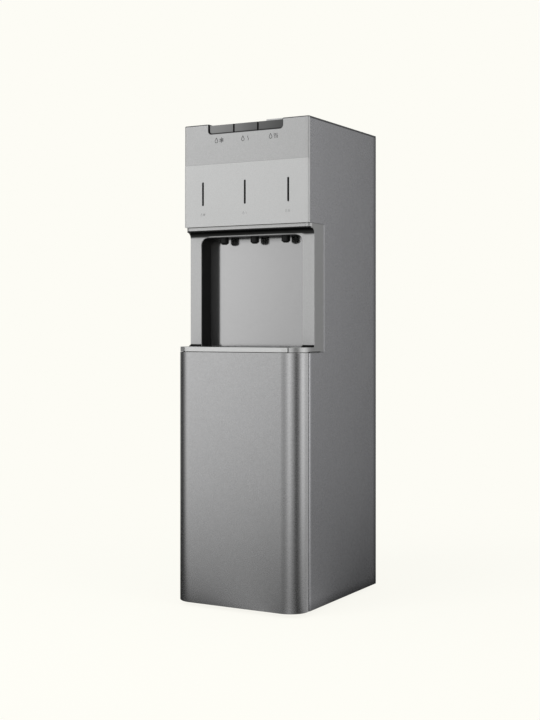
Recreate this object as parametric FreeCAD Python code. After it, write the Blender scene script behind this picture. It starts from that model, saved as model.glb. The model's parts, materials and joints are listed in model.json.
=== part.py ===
import FreeCAD, Part
import math
import os

# A bottom load water cooler, in millimetres. +Z is up, the door faces -Y and +X is the viewer's right.
# The origin is on the floor, under the centre of the whole object's box.
# "Depth" is measured backwards from the front plane of the control fascia.

Vector = FreeCAD.Vector

# Whole cabinet
WIDTH = 310.0
HEIGHT = 1045.0
CABINET_DEPTH = 336.0
DOOR_STAND_OUT = 46.0
FLOOR_GAP = 9.0
SHEET = 1.2
FIT_GAP = 0.3
SEAM = 0.6

# Front, from the top edge down
BAND_HEIGHT = 88.0
PLATE_HEIGHT = 135.2
LIP_HEIGHT = 9.7
COVE_HEIGHT = 9.3
RAIL_HEIGHT = 3.0
RECESS_HEIGHT = 239.0
SHELF_HEIGHT = 10.0
SHELF_TO_DOOR = 1.0

# Moulding round the dispensing recess
MOULD_WALL = 2.5
LIP_DEPTH = 3.5
LIP_CORNER = 12.0
COVE_RADIUS = 12.0
JAMB_WIDTH = 28.0
JAMB_DEPTH = 25.0
JAMB_EDGE = 1.0
WRAP_PAST_BACK = 1.0
WRAP_SEAM = 1.2
RECESS_CORNER = 15.5
RECESS_BACK = 65.0
LINER_WALL = 2.0
STEEL_LINING = 1.2
LIGHT_BAR_SKIN = 1.2
LIGHT_BAR_BORDER = 1.5
LIGHT_BAR_RISE = 0.5
RAMP_HEIGHT = 4.8
RAMP_DEPTH = 9.5
RAMP_SIDE_GAP = 1.2

# Upper fascia
BAND_CORNER = 5.0
FASCIA_WALL = 2.5
FASCIA_RETURN = 24.0
PLATE_PROUD = 0.8
PLATE_CORNER = 4.0
SLIT_WIDTH = 4.8
SLIT_LENGTH = 52.0
SLIT_SPACING = 106.0
SLIT_RISE = 71.5
BOARD_HALF = 125.0
BOARD_THICKNESS = 1.6
RELAY_HALF = 9.0
PLUNGER_RADIUS = 1.6
SWITCH_HALF = 10.0
SWITCH_FRONT = 14.0
SWITCH_BACK = 21.0
KEEL_HALF = 3.0
KEEL_HALF_DEPTH = 2.0
PUMP_HALF = 26.0
PUMP_HALF_DEPTH = 16.0
PUMP_HEAD_HEIGHT = 58.0
PUMP_PAD = 4.0
MOTOR_RADIUS = 22.0
MOTOR_LENGTH = 66.0
PUMP_PORT_SPREAD = 14.0
HEATER_FLANGE_RADIUS = 22.0
HEATER_ROD_RADIUS = 3.5
HEATER_ROD_LENGTH = 110.0
HEATER_SPREAD = 7.0
FLOAT_RADIUS = 14.0
FLOAT_HEIGHT = 22.0
FLOAT_STEM_RADIUS = 3.0
CONDENSER_CORNER = 12.0
COVER_EDGE = 4.0
COVER_FRONT_EDGE = 2.0

# Keys on the top edge
NOTCH_WIDTH = 186.0
NOTCH_HEIGHT = 22.5
NOTCH_CORNER = 8.0
KEY_GAP = 2.8
KEY_SIDE_GAP = 1.5
KEY_DROP = 2.5
KEY_RECESS = 3.5
KEY_SKIRT = 27.0
KEY_LENGTH = 43.0
KEY_WALL = 2.4
KEY_PIVOT_DEPTH = 53.0
KEY_PIVOT_DROP = 15.0
KEY_ROD_RADIUS = 2.0
ROD_CLEARANCE = 0.06
CARRIER_WALL = 2.0
CARRIER_FLOOR_DROP = 42.0
LOCK_LENGTH = 40.0
LOCK_WIDTH = 13.0
LOCK_PROUD = 0.8
LOCK_TRAVEL = 14.0

# Spouts and valves
SPOUT_SPACING = 77.0
SPOUT_DEPTH = 42.5
SPOUT_RADIUS = 9.5
SPOUT_DROP = 15.0
SPOUT_TIP_RADIUS = 5.2
SPOUT_CHAMFER = 3.5
SPOUT_BORE = 3.2
SPOUT_FLANGE_RADIUS = 12.5
VALVE_WIDTH = 26.0
VALVE_HEIGHT = 34.0
VALVE_PORT = 12.0
VALVE_PORT_RADIUS = 4.0
VALVE_PORT_RISE = 12.0

# Drip tray and grille
TRAY_CORNER_GAP = 2.6
TRAY_INSET = 1.0
TRAY_RIM = 9.0
GRILLE_THICKNESS = 1.5
GRILLE_SLOT = 5.0
GRILLE_PITCH = 11.0
GRILLE_CORNER = 7.0
GRILLE_MARGIN = 12.0
GRILLE_BAR = 6.0
GRILLE_LEDGE = 3.0
GRILLE_SIDE_OVERLAP = 3.0
GRILLE_BACK_RIM = 3.0
TRAY_STRIP = 11.5
TRAY_FLOOR = 1.2

# Door
DOOR_CORNER = 42.0
DOOR_WING_DEPTH = -3.0
DOOR_WALL = 2.0
DOOR_LINER = 2.0
DOOR_LINER_GAP = 0.2
PANEL_FRONT_DEPTH = 0.0
PANEL_ROLL = 5.5
PANEL_BACK_ROLL = 2.2
PANEL_FLANGE = 14.0
HINGE_INSET = 8.0
HINGE_AHEAD = 11.0
HINGE_PIN_RADIUS = 2.0
HINGE_BOSS_RADIUS = 4.0
HINGE_BOSS_LENGTH = 18.0
HINGE_PLATE = 2.4
HINGE_PIN_SEAT = 7.0
MAGNET_WIDTH = 8.0
MAGNET_LENGTH = 60.0

# Bottle bay and probe
DECK_SHEET = 1.5
BAY_WALL = 1.5
BAY_BACK = 283.0
PLATFORM_HEIGHT = 15.0
BOTTLE_RADIUS = 135.0
DISH_CLEARANCE = 3.0
DISH_DEPTH = 4.0
PROBE_TUBE_RADIUS = 8.0
PROBE_CAP_RADIUS = 27.0
PROBE_CAP_HEIGHT = 24.0
PROBE_INSET = 31.0
PROBE_FORK = 4.0
PROBE_FORK_DROP = 70.0
PROBE_TOE_CLEARANCE = 24.0

# Refrigeration and tanks
SHELF_SHEET = 1.5
HOT_RADIUS = 48.0
HOT_HEIGHT = 160.0
HOT_JACKET_WALL = 4.0
COLD_HEIGHT = 170.0
TANK_WALL = 1.5
FOAM_WALL = 14.0
FOAM_BASE = 16.0
TANK_BACK_GAP = 40.0
TANK_CLEARANCE = 3.0
HOT_WALL_GAP = 4.0
COIL_TUBE_RADIUS = 3.0
COIL_PITCH = 10.0
COIL_TURNS = 8
COMPRESSOR_RADIUS = 58.0
COMPRESSOR_HEIGHT = 132.0
COMPRESSOR_FOOT = (150.0, 112.0, 3.0)
GROMMET_RADIUS = 10.0
GROMMET_HEIGHT = 14.0
CONDENSER_TUBE_RADIUS = 2.5
CONDENSER_PITCH = 25.0
CONDENSER_RUNS = 14
CONDENSER_HALF = 112.0
CONDENSER_WIRE_RADIUS = 0.8
CONDENSER_WIRES = 19
BACK_RECESS = 20.0
BACK_PANEL = 1.2
LINE_RADIUS = 2.5

# Rear services
SERVICE_RISE = 42.0
ROCKER_HOLE = (19.2, 12.9)
ROCKER_SPACING = 32.0
ROCKER_TILT = 9.0
INLET_HOLE = (27.4, 20.0)
INLET_X = 95.0
DRAIN_X = 40.0
DRAIN_RADIUS = 9.0
SCREW_HEAD_RADIUS = 3.6
SCREW_HEAD_HEIGHT = 2.0
SCREW_SHANK_RADIUS = 1.6
SCREW_CROSS_ARM = 2.0
SCREW_CROSS_BLADE = 0.4
SCREW_CROSS_FLOOR = 0.9
FOOT_RADIUS = 16.0
FOOT_SIDE_INSET = 40.0
FOOT_END_INSET = 28.0
VENT_ROWS = 9
VENT_HALF = 80.0
VENT_HEIGHT = 5.0
VENT_PITCH = 14.0
VENT_RISE = 60.0
SKIRT_DROP = 8.0
DECK_FOLD = 16.0
DECK_FOLD_FRONT = 40.0

# Places worked out from the sizes above
HALF = WIDTH / 2
WRAP_DEPTH = RECESS_BACK + WRAP_PAST_BACK
FRONT_Y = -(DOOR_STAND_OUT + CABINET_DEPTH + SCREW_HEAD_HEIGHT) / 2
FASCIA_Y = FRONT_Y + DOOR_STAND_OUT
INNER = HALF - SHEET - FIT_GAP
BAY_FRONT = PANEL_FRONT_DEPTH + PANEL_ROLL + FIT_GAP
PLATE_TOP = HEIGHT - BAND_HEIGHT
PLATE_BOTTOM = PLATE_TOP - PLATE_HEIGHT
LIP_TOP = PLATE_BOTTOM - SEAM
LIP_BOTTOM = LIP_TOP - LIP_HEIGHT
COVE_BOTTOM = LIP_BOTTOM - COVE_HEIGHT
RECESS_TOP = COVE_BOTTOM - RAIL_HEIGHT
SHELF_TOP = RECESS_TOP - RECESS_HEIGHT
SHELF_BOTTOM = SHELF_TOP - SHELF_HEIGHT
DOOR_TOP = SHELF_BOTTOM - SHELF_TO_DOOR
SHELF_FLOOR_TOP = SHELF_BOTTOM + MOULD_WALL - FIT_GAP
RECESS_HALF = HALF - JAMB_WIDTH
DECK_TOP = SHELF_BOTTOM - SEAM
DECK_BOTTOM = DECK_TOP - DECK_SHEET
BASE_TOP = FLOOR_GAP + SHEET
PLATFORM_TOP = BASE_TOP + FIT_GAP + PLATFORM_HEIGHT
TANK_SHELF_TOP = RECESS_TOP + LINER_WALL + SHELF_SHEET + 5.0
KEY_TOP = HEIGHT - KEY_DROP
NOTCH_BOTTOM = HEIGHT - NOTCH_HEIGHT
KEY_PIVOT_Z = HEIGHT - KEY_PIVOT_DROP
CARRIER_FLOOR = HEIGHT - CARRIER_FLOOR_DROP
COVER_BOTTOM = HEIGHT - COVER_EDGE
TRAY_HALF = RECESS_HALF - FIT_GAP
TRAY_BOTTOM = SHELF_FLOOR_TOP + FIT_GAP
HINGE_X = -(HALF - HINGE_INSET)
HINGE_DEPTH = DOOR_WING_DEPTH - HINGE_AHEAD
BACK_PANEL_DEPTH = CABINET_DEPTH - BACK_RECESS
UPPER_BACK_BOTTOM = DECK_TOP + FIT_GAP
SERVICE_Z = DECK_TOP + SERVICE_RISE
SPOUTS = {"cold": -SPOUT_SPACING, "room": 0.0, "hot": SPOUT_SPACING}

shapes = {}
fasteners = []


def at(depth):
    return FASCIA_Y + depth


def box(x0, x1, depth0, depth1, z0, z1):
    return Part.makeBox(x1 - x0, depth1 - depth0, z1 - z0, Vector(x0, at(depth0), z0))


def rod(radius, length, x, depth, z, direction):
    return Part.makeCylinder(radius, length, Vector(x, at(depth), z), direction)


RIGHT = Vector(1, 0, 0)
BACK = Vector(0, 1, 0)
UP = Vector(0, 0, 1)


def rounded_wire(corners, lift):
    """Closed outline through corners (a, b, radius), each corner rounded, set in space by lift(a, b)."""
    count = len(corners)
    stops = []
    for i, (a, b, radius) in enumerate(corners):
        here = Vector(a, b, 0)
        before = Vector(*corners[i - 1][:2], 0) - here
        after = Vector(*corners[(i + 1) % count][:2], 0) - here
        before.normalize()
        after.normalize()
        if radius:
            half = math.acos(before.dot(after)) / 2
            reach = radius / math.tan(half)
            inward = before + after
            inward.normalize()
            middle = here + inward * (radius / math.sin(half) - radius)
            stops.append((here + before * reach, middle, here + after * reach))
        else:
            stops.append((here, None, here))
    edges = []
    for i, (start, middle, end) in enumerate(stops):
        if middle:
            arc = Part.Arc(lift(start.x, start.y), lift(middle.x, middle.y), lift(end.x, end.y))
            edges.append(arc.toShape())
        following = stops[(i + 1) % count][0]
        if (following - end).Length > 1e-6:
            line = Part.LineSegment(lift(end.x, end.y), lift(following.x, following.y))
            edges.append(line.toShape())
    return Part.Wire(edges)


def from_above(corners, z0, z1):
    """Solid whose outline is corners of (x, depth, radius), from z0 up to z1."""
    wire = rounded_wire(corners, lambda x, depth: Vector(x, at(depth), z0))
    return Part.Face(wire).extrude(Vector(0, 0, z1 - z0))


def from_front(corners, depth0, depth1):
    """Solid whose outline is corners of (x, z, radius), from depth0 back to depth1."""
    wire = rounded_wire(corners, lambda x, z: Vector(x, at(depth0), z))
    return Part.Face(wire).extrude(Vector(0, depth1 - depth0, 0))


def from_side(corners, x0, x1):
    """Solid whose outline is corners of (depth, z, radius), from x0 to x1."""
    wire = rounded_wire(corners, lambda depth, z: Vector(x0, at(depth), z))
    return Part.Face(wire).extrude(Vector(x1 - x0, 0, 0))


def rectangle(a0, a1, b0, b1, radius=0.0):
    return [(a0, b0, radius), (a1, b0, radius), (a1, b1, radius), (a0, b1, radius)]


def fuse(first, *others):
    return first.multiFuse(list(others)).removeSplitter()


def round_edges(shape, radius, wanted):
    """Rounds the edges whose centre and direction satisfy wanted(edge)."""
    return shape.makeFillet(radius, [edge for edge in shape.Edges if wanted(edge)])


def group(solids):
    return Part.makeCompound(solids)


def mirrored(shape):
    return shape.mirror(Vector(0, 0, 0), RIGHT)


def door_outline(inset, wing):
    """The door's plan: a flat front with two large round corners, and wings that end at depth wing."""
    side = HALF - inset
    front = -DOOR_STAND_OUT + inset
    corner = DOOR_CORNER - inset
    return [(-side, front, corner), (side, front, corner), (side, wing, 0), (-side, wing, 0)]


# Cabinet shell

def side_panel():
    """The left panel: a rolled front flange beside the door and a return flange at the back."""
    back = CABINET_DEPTH
    outer = [
        (-HALF, PANEL_FRONT_DEPTH, PANEL_ROLL),
        (-HALF + PANEL_FLANGE, PANEL_FRONT_DEPTH, 0),
        (-HALF + PANEL_FLANGE, PANEL_FRONT_DEPTH + SHEET, 0),
        (-HALF + SHEET, PANEL_FRONT_DEPTH + SHEET, PANEL_ROLL - SHEET),
        (-HALF + SHEET, back - SHEET, PANEL_BACK_ROLL - SHEET),
        (-HALF + PANEL_FLANGE, back - SHEET, 0),
        (-HALF + PANEL_FLANGE, back, 0),
        (-HALF, back, PANEL_BACK_ROLL),
    ]
    panel = from_above(outer, FLOOR_GAP, COVER_BOTTOM - FIT_GAP)
    beside_recess = box(-HALF - 1, 0, PANEL_FRONT_DEPTH - 1, WRAP_DEPTH + SEAM,
                        SHELF_BOTTOM - WRAP_SEAM, LIP_TOP + SEAM)
    beside_fascia = box(-HALF - 1, 0, PANEL_FRONT_DEPTH - 1, BAND_CORNER + FIT_GAP, LIP_TOP, HEIGHT)
    return panel.cut(beside_recess).cut(beside_fascia)


def screw_places():
    """Centres (x, z) of the screws that hold the back panels to the side panels' flanges."""
    side = HALF - PANEL_FLANGE / 2
    low = FLOOR_GAP + 30.0
    high = HEIGHT - 40.0
    middle = DOOR_TOP - 30.0
    heights = [low, (low + middle) / 2, middle, middle + 70.0, (middle + high) / 2 + 30.0, high]
    return [(sign * side, z) for sign in (-1, 1) for z in heights]


def drill_back(shape, radius, depth0, depth1):
    for x, z in screw_places():
        shape = shape.cut(rod(radius, depth1 - depth0, x, depth0, z, BACK))
    return shape


def build_cabinet():
    hole = SCREW_SHANK_RADIUS + 0.1
    left = drill_back(side_panel(), hole, CABINET_DEPTH - 5, CABINET_DEPTH + 5)
    shapes["side_panel_left"] = left
    shapes["side_panel_right"] = mirrored(left)

    # The base pan is a folded tray that carries the side panels, the feet and the bottle platform.
    pan_back = CABINET_DEPTH - SHEET - BACK_PANEL - 2 * FIT_GAP
    flange = 14.0
    pan = box(-INNER, INNER, BAY_FRONT, pan_back, FLOOR_GAP, FLOOR_GAP + flange)
    pan = pan.cut(box(-INNER + SHEET, INNER - SHEET, BAY_FRONT - 1, pan_back - SHEET,
                      BASE_TOP, FLOOR_GAP + flange + 1))
    shapes["base_pan"] = pan

    feet = []
    for sign in (-1, 1):
        for depth in (FOOT_END_INSET, CABINET_DEPTH - FOOT_END_INSET):
            foot = rod(FOOT_RADIUS, FLOOR_GAP, sign * (HALF - FOOT_SIDE_INSET), depth, 0, UP)
            foot = round_edges(foot, 1.5, lambda e: e.CenterOfMass.z < 0.1)
            feet.append(foot)
    shapes["rubber_feet"] = group(feet)

    # Lower back panel, inside the flanges; upper back panel, set in to leave room for the condenser.
    depth1 = CABINET_DEPTH - SHEET - FIT_GAP
    depth0 = depth1 - BACK_PANEL
    lower = box(-INNER, INNER, depth0, depth1, FLOOR_GAP + SHEET, DECK_BOTTOM - FIT_GAP)
    shapes["back_panel_lower"] = drill_back(lower, hole, depth0 - 1, depth1 + 1)

    upper = box(-INNER, INNER, BACK_PANEL_DEPTH - BACK_PANEL, BACK_PANEL_DEPTH,
                UPPER_BACK_BOTTOM, COVER_BOTTOM - FIT_GAP)
    rim_back = CABINET_DEPTH - SHEET - FIT_GAP
    for sign in (-1, 1):
        outer = sign * INNER
        inner = sign * (INNER - SHEET)
        rim = box(min(outer, inner), max(outer, inner), BACK_PANEL_DEPTH, rim_back,
                  UPPER_BACK_BOTTOM, COVER_BOTTOM - FIT_GAP)
        ear_edge = sign * (HALF - PANEL_FLANGE)
        ear = box(min(outer, ear_edge), max(outer, ear_edge), rim_back - SHEET, rim_back,
                  UPPER_BACK_BOTTOM, COVER_BOTTOM - FIT_GAP)
        upper = fuse(upper, rim, ear)
    sill = box(-INNER, INNER, BACK_PANEL_DEPTH - BACK_PANEL, rim_back,
               UPPER_BACK_BOTTOM, UPPER_BACK_BOTTOM + SHEET)
    upper = drill_back(fuse(upper, sill), hole, BACK_PANEL_DEPTH + 5, CABINET_DEPTH)
    for row in range(VENT_ROWS):
        z = SERVICE_Z + VENT_RISE + row * VENT_PITCH
        slot = from_front(rectangle(-VENT_HALF, VENT_HALF, z, z + VENT_HEIGHT, VENT_HEIGHT / 2 - 0.1),
                          BACK_PANEL_DEPTH - 5, BACK_PANEL_DEPTH + 1)
        upper = upper.cut(slot)
    through = (BACK_PANEL_DEPTH - 3, BACK_PANEL_DEPTH + 1)
    for x in rocker_places().values():
        upper = upper.cut(centred_block(ROCKER_HOLE, x, SERVICE_Z, *through))
    upper = upper.cut(centred_block(INLET_HOLE, INLET_X, SERVICE_Z, *through))
    upper = upper.cut(rod(DRAIN_RADIUS + FIT_GAP, 6, DRAIN_X, BACK_PANEL_DEPTH - 4, SERVICE_Z, BACK))
    for x, z in condenser_ends():
        upper = upper.cut(rod(LINE_RADIUS + 2, 6, x, BACK_PANEL_DEPTH - 4, z, BACK))
    shapes["back_panel_upper"] = upper

    screws = []
    for x, z in screw_places():
        head = rod(SCREW_HEAD_RADIUS, SCREW_HEAD_HEIGHT, x, CABINET_DEPTH, z, BACK)
        head = round_edges(head, 1.2, lambda e: e.CenterOfMass.y > at(CABINET_DEPTH) + 1.9)
        arm, blade = SCREW_CROSS_ARM, SCREW_CROSS_BLADE
        cut_depths = (CABINET_DEPTH + SCREW_CROSS_FLOOR, CABINET_DEPTH + 3)
        level = box(x - arm, x + arm, *cut_depths, z - blade, z + blade)
        upright = box(x - blade, x + blade, *cut_depths, z - arm, z + arm)
        cross = level.fuse(upright)
        shank = rod(SCREW_SHANK_RADIUS, 8.0, x, CABINET_DEPTH - 8.0, z, BACK)
        screws.append(fuse(head.cut(cross), shank))
    fasteners.extend(screws)

    # The top cover is a dark lid. Its skirt drops inside the panels and its cut-out frames the keys.
    lid = from_above([(-HALF, 0.4, BAND_CORNER), (HALF, 0.4, BAND_CORNER),
                      (HALF, CABINET_DEPTH, 2.5), (-HALF, CABINET_DEPTH, 2.5)], COVER_BOTTOM, HEIGHT)
    lid = round_edges(lid, 1.2, lambda e: e.CenterOfMass.z > HEIGHT - 0.01)
    step_top = HEIGHT - COVER_FRONT_EDGE
    step = box(-HALF - 1, HALF + 1, -1, BAND_CORNER + FIT_GAP, COVER_BOTTOM - 1, step_top)
    skirt_front = FASCIA_RETURN + 8.0
    skirt_back = CABINET_DEPTH - SHEET - FIT_GAP
    below_skirt = COVER_BOTTOM - SKIRT_DROP - 1
    skirt = box(-INNER, INNER, skirt_front, skirt_back, COVER_BOTTOM - SKIRT_DROP, COVER_BOTTOM)
    skirt = skirt.cut(box(-INNER + SHEET, INNER - SHEET, skirt_front - 1, skirt_back - SHEET,
                          below_skirt, COVER_BOTTOM))
    upper_panel_front = BACK_PANEL_DEPTH - BACK_PANEL - FIT_GAP
    skirt = skirt.cut(box(-INNER - 1, INNER + 1, upper_panel_front, CABINET_DEPTH,
                          below_skirt, COVER_BOTTOM))
    well = box(-NOTCH_WIDTH / 2, NOTCH_WIDTH / 2, -1, KEY_LENGTH + 2.0, COVER_BOTTOM - 1, HEIGHT + 1)
    well = round_edges(well, 3.0, lambda e: abs(e.tangentAt(e.FirstParameter).z) > 0.9
                       and e.CenterOfMass.y > at(KEY_LENGTH))
    shapes["top_cover"] = fuse(lid.cut(step), skirt).cut(well)

    # The mid deck is the steel floor of the machine space, above the bottle bay.
    deck = box(-INNER, INNER, BAY_FRONT, upper_panel_front, DECK_BOTTOM, DECK_TOP)
    for sign in (-1, 1):
        outer = sign * INNER
        inner = sign * (INNER - SHEET)
        deck = fuse(deck, box(min(outer, inner), max(outer, inner), DECK_FOLD_FRONT, BAY_BACK,
                              DECK_BOTTOM - DECK_FOLD, DECK_BOTTOM))
    shapes["mid_deck"] = deck


def centred_block(size, x, z, depth0, depth1):
    width, height = size
    return box(x - width / 2, x + width / 2, depth0, depth1, z - height / 2, z + height / 2)


# Bottle bay

def probe_place():
    return -(INNER - BAY_WALL - PROBE_INSET), BAY_BACK - PROBE_INSET


def build_bay():
    top = DECK_BOTTOM - FIT_GAP
    wall_out = INNER - SHEET - FIT_GAP
    wall_in = wall_out - BAY_WALL
    outer = from_above([(-wall_out, BAY_FRONT, 0), (wall_out, BAY_FRONT, 0),
                        (wall_out, BAY_BACK + BAY_WALL, 10.0), (-wall_out, BAY_BACK + BAY_WALL, 10.0)],
                       PLATFORM_TOP + FIT_GAP, top)
    inner = from_above([(-wall_in, BAY_FRONT - 1, 0), (wall_in, BAY_FRONT - 1, 0),
                        (wall_in, BAY_BACK, 10.0 - BAY_WALL), (-wall_in, BAY_BACK, 10.0 - BAY_WALL)],
                       PLATFORM_TOP, top + 1)
    shapes["bay_liner"] = outer.cut(inner)

    # The bottle stands in a shallow round dish.
    platform = from_above(rectangle(-wall_out, wall_out, BAY_FRONT, BAY_BACK + BAY_WALL, 6.0),
                          BASE_TOP + FIT_GAP, PLATFORM_TOP)
    dish_radius = BOTTLE_RADIUS + DISH_CLEARANCE
    dish = rod(dish_radius, DISH_DEPTH + 1, 0, BAY_BACK - dish_radius, PLATFORM_TOP - DISH_DEPTH, UP)
    shapes["bottle_platform"] = platform.cut(dish)

    # The probe's cap hangs on a fork on the bay's back wall, with its dip tube in the fork's slot.
    x, depth = probe_place()
    fork_z = DECK_BOTTOM - PROBE_FORK_DROP
    fork = box(x - 20.0, x + 20.0, depth - 14.0, BAY_BACK, fork_z - PROBE_FORK, fork_z)
    fork = round_edges(fork, 6.0, lambda e: abs(e.tangentAt(e.FirstParameter).z) > 0.9
                       and e.CenterOfMass.y < at(depth))
    plate = box(x - 20.0, x + 20.0, BAY_BACK - 2.5, BAY_BACK, fork_z - 30.0, fork_z)
    slot = PROBE_TUBE_RADIUS + FIT_GAP
    groove = fuse(box(x - slot, x + slot, depth - 40.0, depth, fork_z - PROBE_FORK - 1, fork_z + 1),
                  rod(slot, PROBE_FORK + 2, x, depth, fork_z - PROBE_FORK - 1, UP))
    shapes["bay_liner"] = fuse(shapes["bay_liner"], fuse(fork, plate).cut(groove))

    toe = PLATFORM_TOP + PROBE_TOE_CLEARANCE
    cap_base = fork_z + FIT_GAP
    tube = rod(PROBE_TUBE_RADIUS, cap_base - toe + 1.0, x, depth, toe, UP)
    tube = tube.cut(rod(PROBE_TUBE_RADIUS - 1.5, cap_base - toe + 1.0, x, depth, toe - 1.0, UP))
    window = rod(2.5, 30.0, x - 15.0, depth, toe + 12.0, RIGHT)
    shapes["probe_tube"] = tube.cut(window)
    cap = rod(PROBE_CAP_RADIUS, PROBE_CAP_HEIGHT, x, depth, cap_base + 1.0, UP)
    cap = round_edges(cap, 3.0, lambda e: e.CenterOfMass.z > cap_base + PROBE_CAP_HEIGHT)
    collar = rod(PROBE_TUBE_RADIUS + 5.0, 1.0, x, depth, cap_base, UP)
    collar = collar.cut(rod(PROBE_TUBE_RADIUS, 1.0, x, depth, cap_base, UP))
    hollow = rod(PROBE_CAP_RADIUS - 2.0, PROBE_CAP_HEIGHT - 12.0, x, depth, cap_base + 3.0, UP)
    cap = fuse(cap, collar)
    flutes = 24
    flute_ring = PROBE_CAP_RADIUS + 0.7
    for turn in range(flutes):
        angle = 2 * math.pi * turn / flutes
        flute = Part.makeCylinder(1.4, PROBE_CAP_HEIGHT,
                                  Vector(x + flute_ring * math.cos(angle),
                                         at(depth) + flute_ring * math.sin(angle), cap_base - 3.0))
        cap = cap.cut(flute)
    barb_z = cap_base + 1.0 + PROBE_CAP_HEIGHT
    barb = fuse(rod(5.0, 6.0, x, depth, barb_z, UP), rod(3.6, 14.0, x, depth, barb_z, UP),
                Part.makeCone(4.6, 3.6, 5.0, Vector(x, at(depth), barb_z + 9.0), UP))
    barb = barb.cut(rod(2.0, 20.0, x, depth, barb_z + 1.0, UP))
    shapes["probe_cap"] = fuse(cap.cut(hollow), barb)


# Door

def build_door():
    bottom = FLOOR_GAP
    skin = from_above(door_outline(0, DOOR_WING_DEPTH), bottom, DOOR_TOP)
    skin = round_edges(skin, 1.0, lambda e: on_door_rim(e, bottom))
    inner_wing = DOOR_WING_DEPTH + 1
    hollow = from_above(door_outline(DOOR_WALL, inner_wing), bottom + DOOR_WALL, DOOR_TOP - DOOR_WALL)
    skin = skin.cut(hollow)
    pin_hole = HINGE_PIN_RADIUS + 0.5
    for z in (bottom - 1, DOOR_TOP - DOOR_WALL - 1):
        skin = skin.cut(rod(pin_hole, DOOR_WALL + 2, HINGE_X, HINGE_DEPTH, z, UP))
    shapes["door_shell"] = skin

    # The liner closes the door's back, and its corner bosses turn on the hinge pins.
    side = HALF - DOOR_WALL - DOOR_LINER_GAP
    low = bottom + DOOR_WALL + DOOR_LINER_GAP
    high = DOOR_TOP - DOOR_WALL - DOOR_LINER_GAP
    back = DOOR_WING_DEPTH - 1.0
    liner = from_front(rectangle(-side, side, low, high), back - DOOR_LINER, back)
    rib_depth = 12.0
    for sign in (-1, 1):
        for x in (sign * 60.0, sign * 120.0):
            liner = fuse(liner, box(x - 1.0, x + 1.0, back - DOOR_LINER - rib_depth, back - DOOR_LINER,
                                    low + 10.0, high - 10.0))
    for z in (low, high - HINGE_BOSS_LENGTH):
        boss = rod(HINGE_BOSS_RADIUS, HINGE_BOSS_LENGTH, HINGE_X, HINGE_DEPTH, z, UP)
        web = box(HINGE_X - HINGE_BOSS_RADIUS + 0.5, HINGE_X + HINGE_BOSS_RADIUS, HINGE_DEPTH,
                  back - DOOR_LINER, z, z + HINGE_BOSS_LENGTH)
        liner = fuse(liner, boss, web)
    bore = HINGE_PIN_RADIUS + ROD_CLEARANCE
    liner = liner.cut(rod(bore, HINGE_BOSS_LENGTH, HINGE_X, HINGE_DEPTH, low, UP))
    liner = liner.cut(rod(bore, HINGE_BOSS_LENGTH, HINGE_X, HINGE_DEPTH, high - HINGE_BOSS_LENGTH, UP))
    shapes["door_liner"] = liner

    pin_depth = HINGE_BOSS_LENGTH - 3.0
    plate_top = bottom - FIT_GAP
    plate = from_above([(HINGE_X - 6.0, HINGE_DEPTH - 6.0, 5.0), (HINGE_X + 12.0, HINGE_DEPTH - 6.0, 5.0),
                        (HINGE_X + 12.0, 40.0, 3.0), (HINGE_X - 6.0, 40.0, 3.0)],
                       plate_top - HINGE_PLATE, plate_top)
    lower_pin = rod(HINGE_PIN_RADIUS, low + pin_depth - plate_top, HINGE_X, HINGE_DEPTH, plate_top, UP)
    lower_hinge = fuse(plate, lower_pin)
    pin_length = SHELF_BOTTOM + HINGE_PIN_SEAT - (high - pin_depth)
    upper_pin = rod(HINGE_PIN_RADIUS, pin_length, HINGE_X, HINGE_DEPTH, high - pin_depth, UP)
    shapes["door_hinge_pins"] = group([lower_hinge, upper_pin])

    # A magnet strip on the liner meets the right panel's front flange.
    x1 = HALF - PANEL_ROLL - 1.0
    z0 = (DOOR_TOP + bottom - MAGNET_LENGTH) / 2
    shapes["door_magnet"] = box(x1 - MAGNET_WIDTH, x1, back, PANEL_FRONT_DEPTH - FIT_GAP,
                                z0, z0 + MAGNET_LENGTH)


def on_door_rim(edge, bottom):
    centre = edge.CenterOfMass
    at_end = abs(centre.z - bottom) < 0.01 or abs(centre.z - DOOR_TOP) < 0.01
    return at_end and centre.y < at(DOOR_WING_DEPTH) - 0.01


# Moulding round the dispensing recess

def shelf_outline(inset=0.0):
    side = HALF - inset
    front = -DOOR_STAND_OUT + TRAY_INSET + inset
    corner = DOOR_CORNER - inset
    return [(-side, front, corner), (side, front, corner), (side, WRAP_DEPTH, 0), (-side, WRAP_DEPTH, 0)]


def recess_outline(offset, bottom):
    """The arch of the dispensing recess, grown by offset."""
    half = RECESS_HALF + offset
    top = RECESS_TOP + offset
    corner = RECESS_CORNER + offset
    return [(-half, bottom, 0), (half, bottom, 0), (half, top, corner), (-half, top, corner)]


def lip_plan(inset, back, z0, z1):
    side = HALF - inset
    corner = LIP_CORNER - inset
    front = LIP_DEPTH + inset
    corners = [(-side, front, corner), (side, front, corner), (side, back, 0), (-side, back, 0)]
    return from_above(corners, z0, z1)


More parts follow.
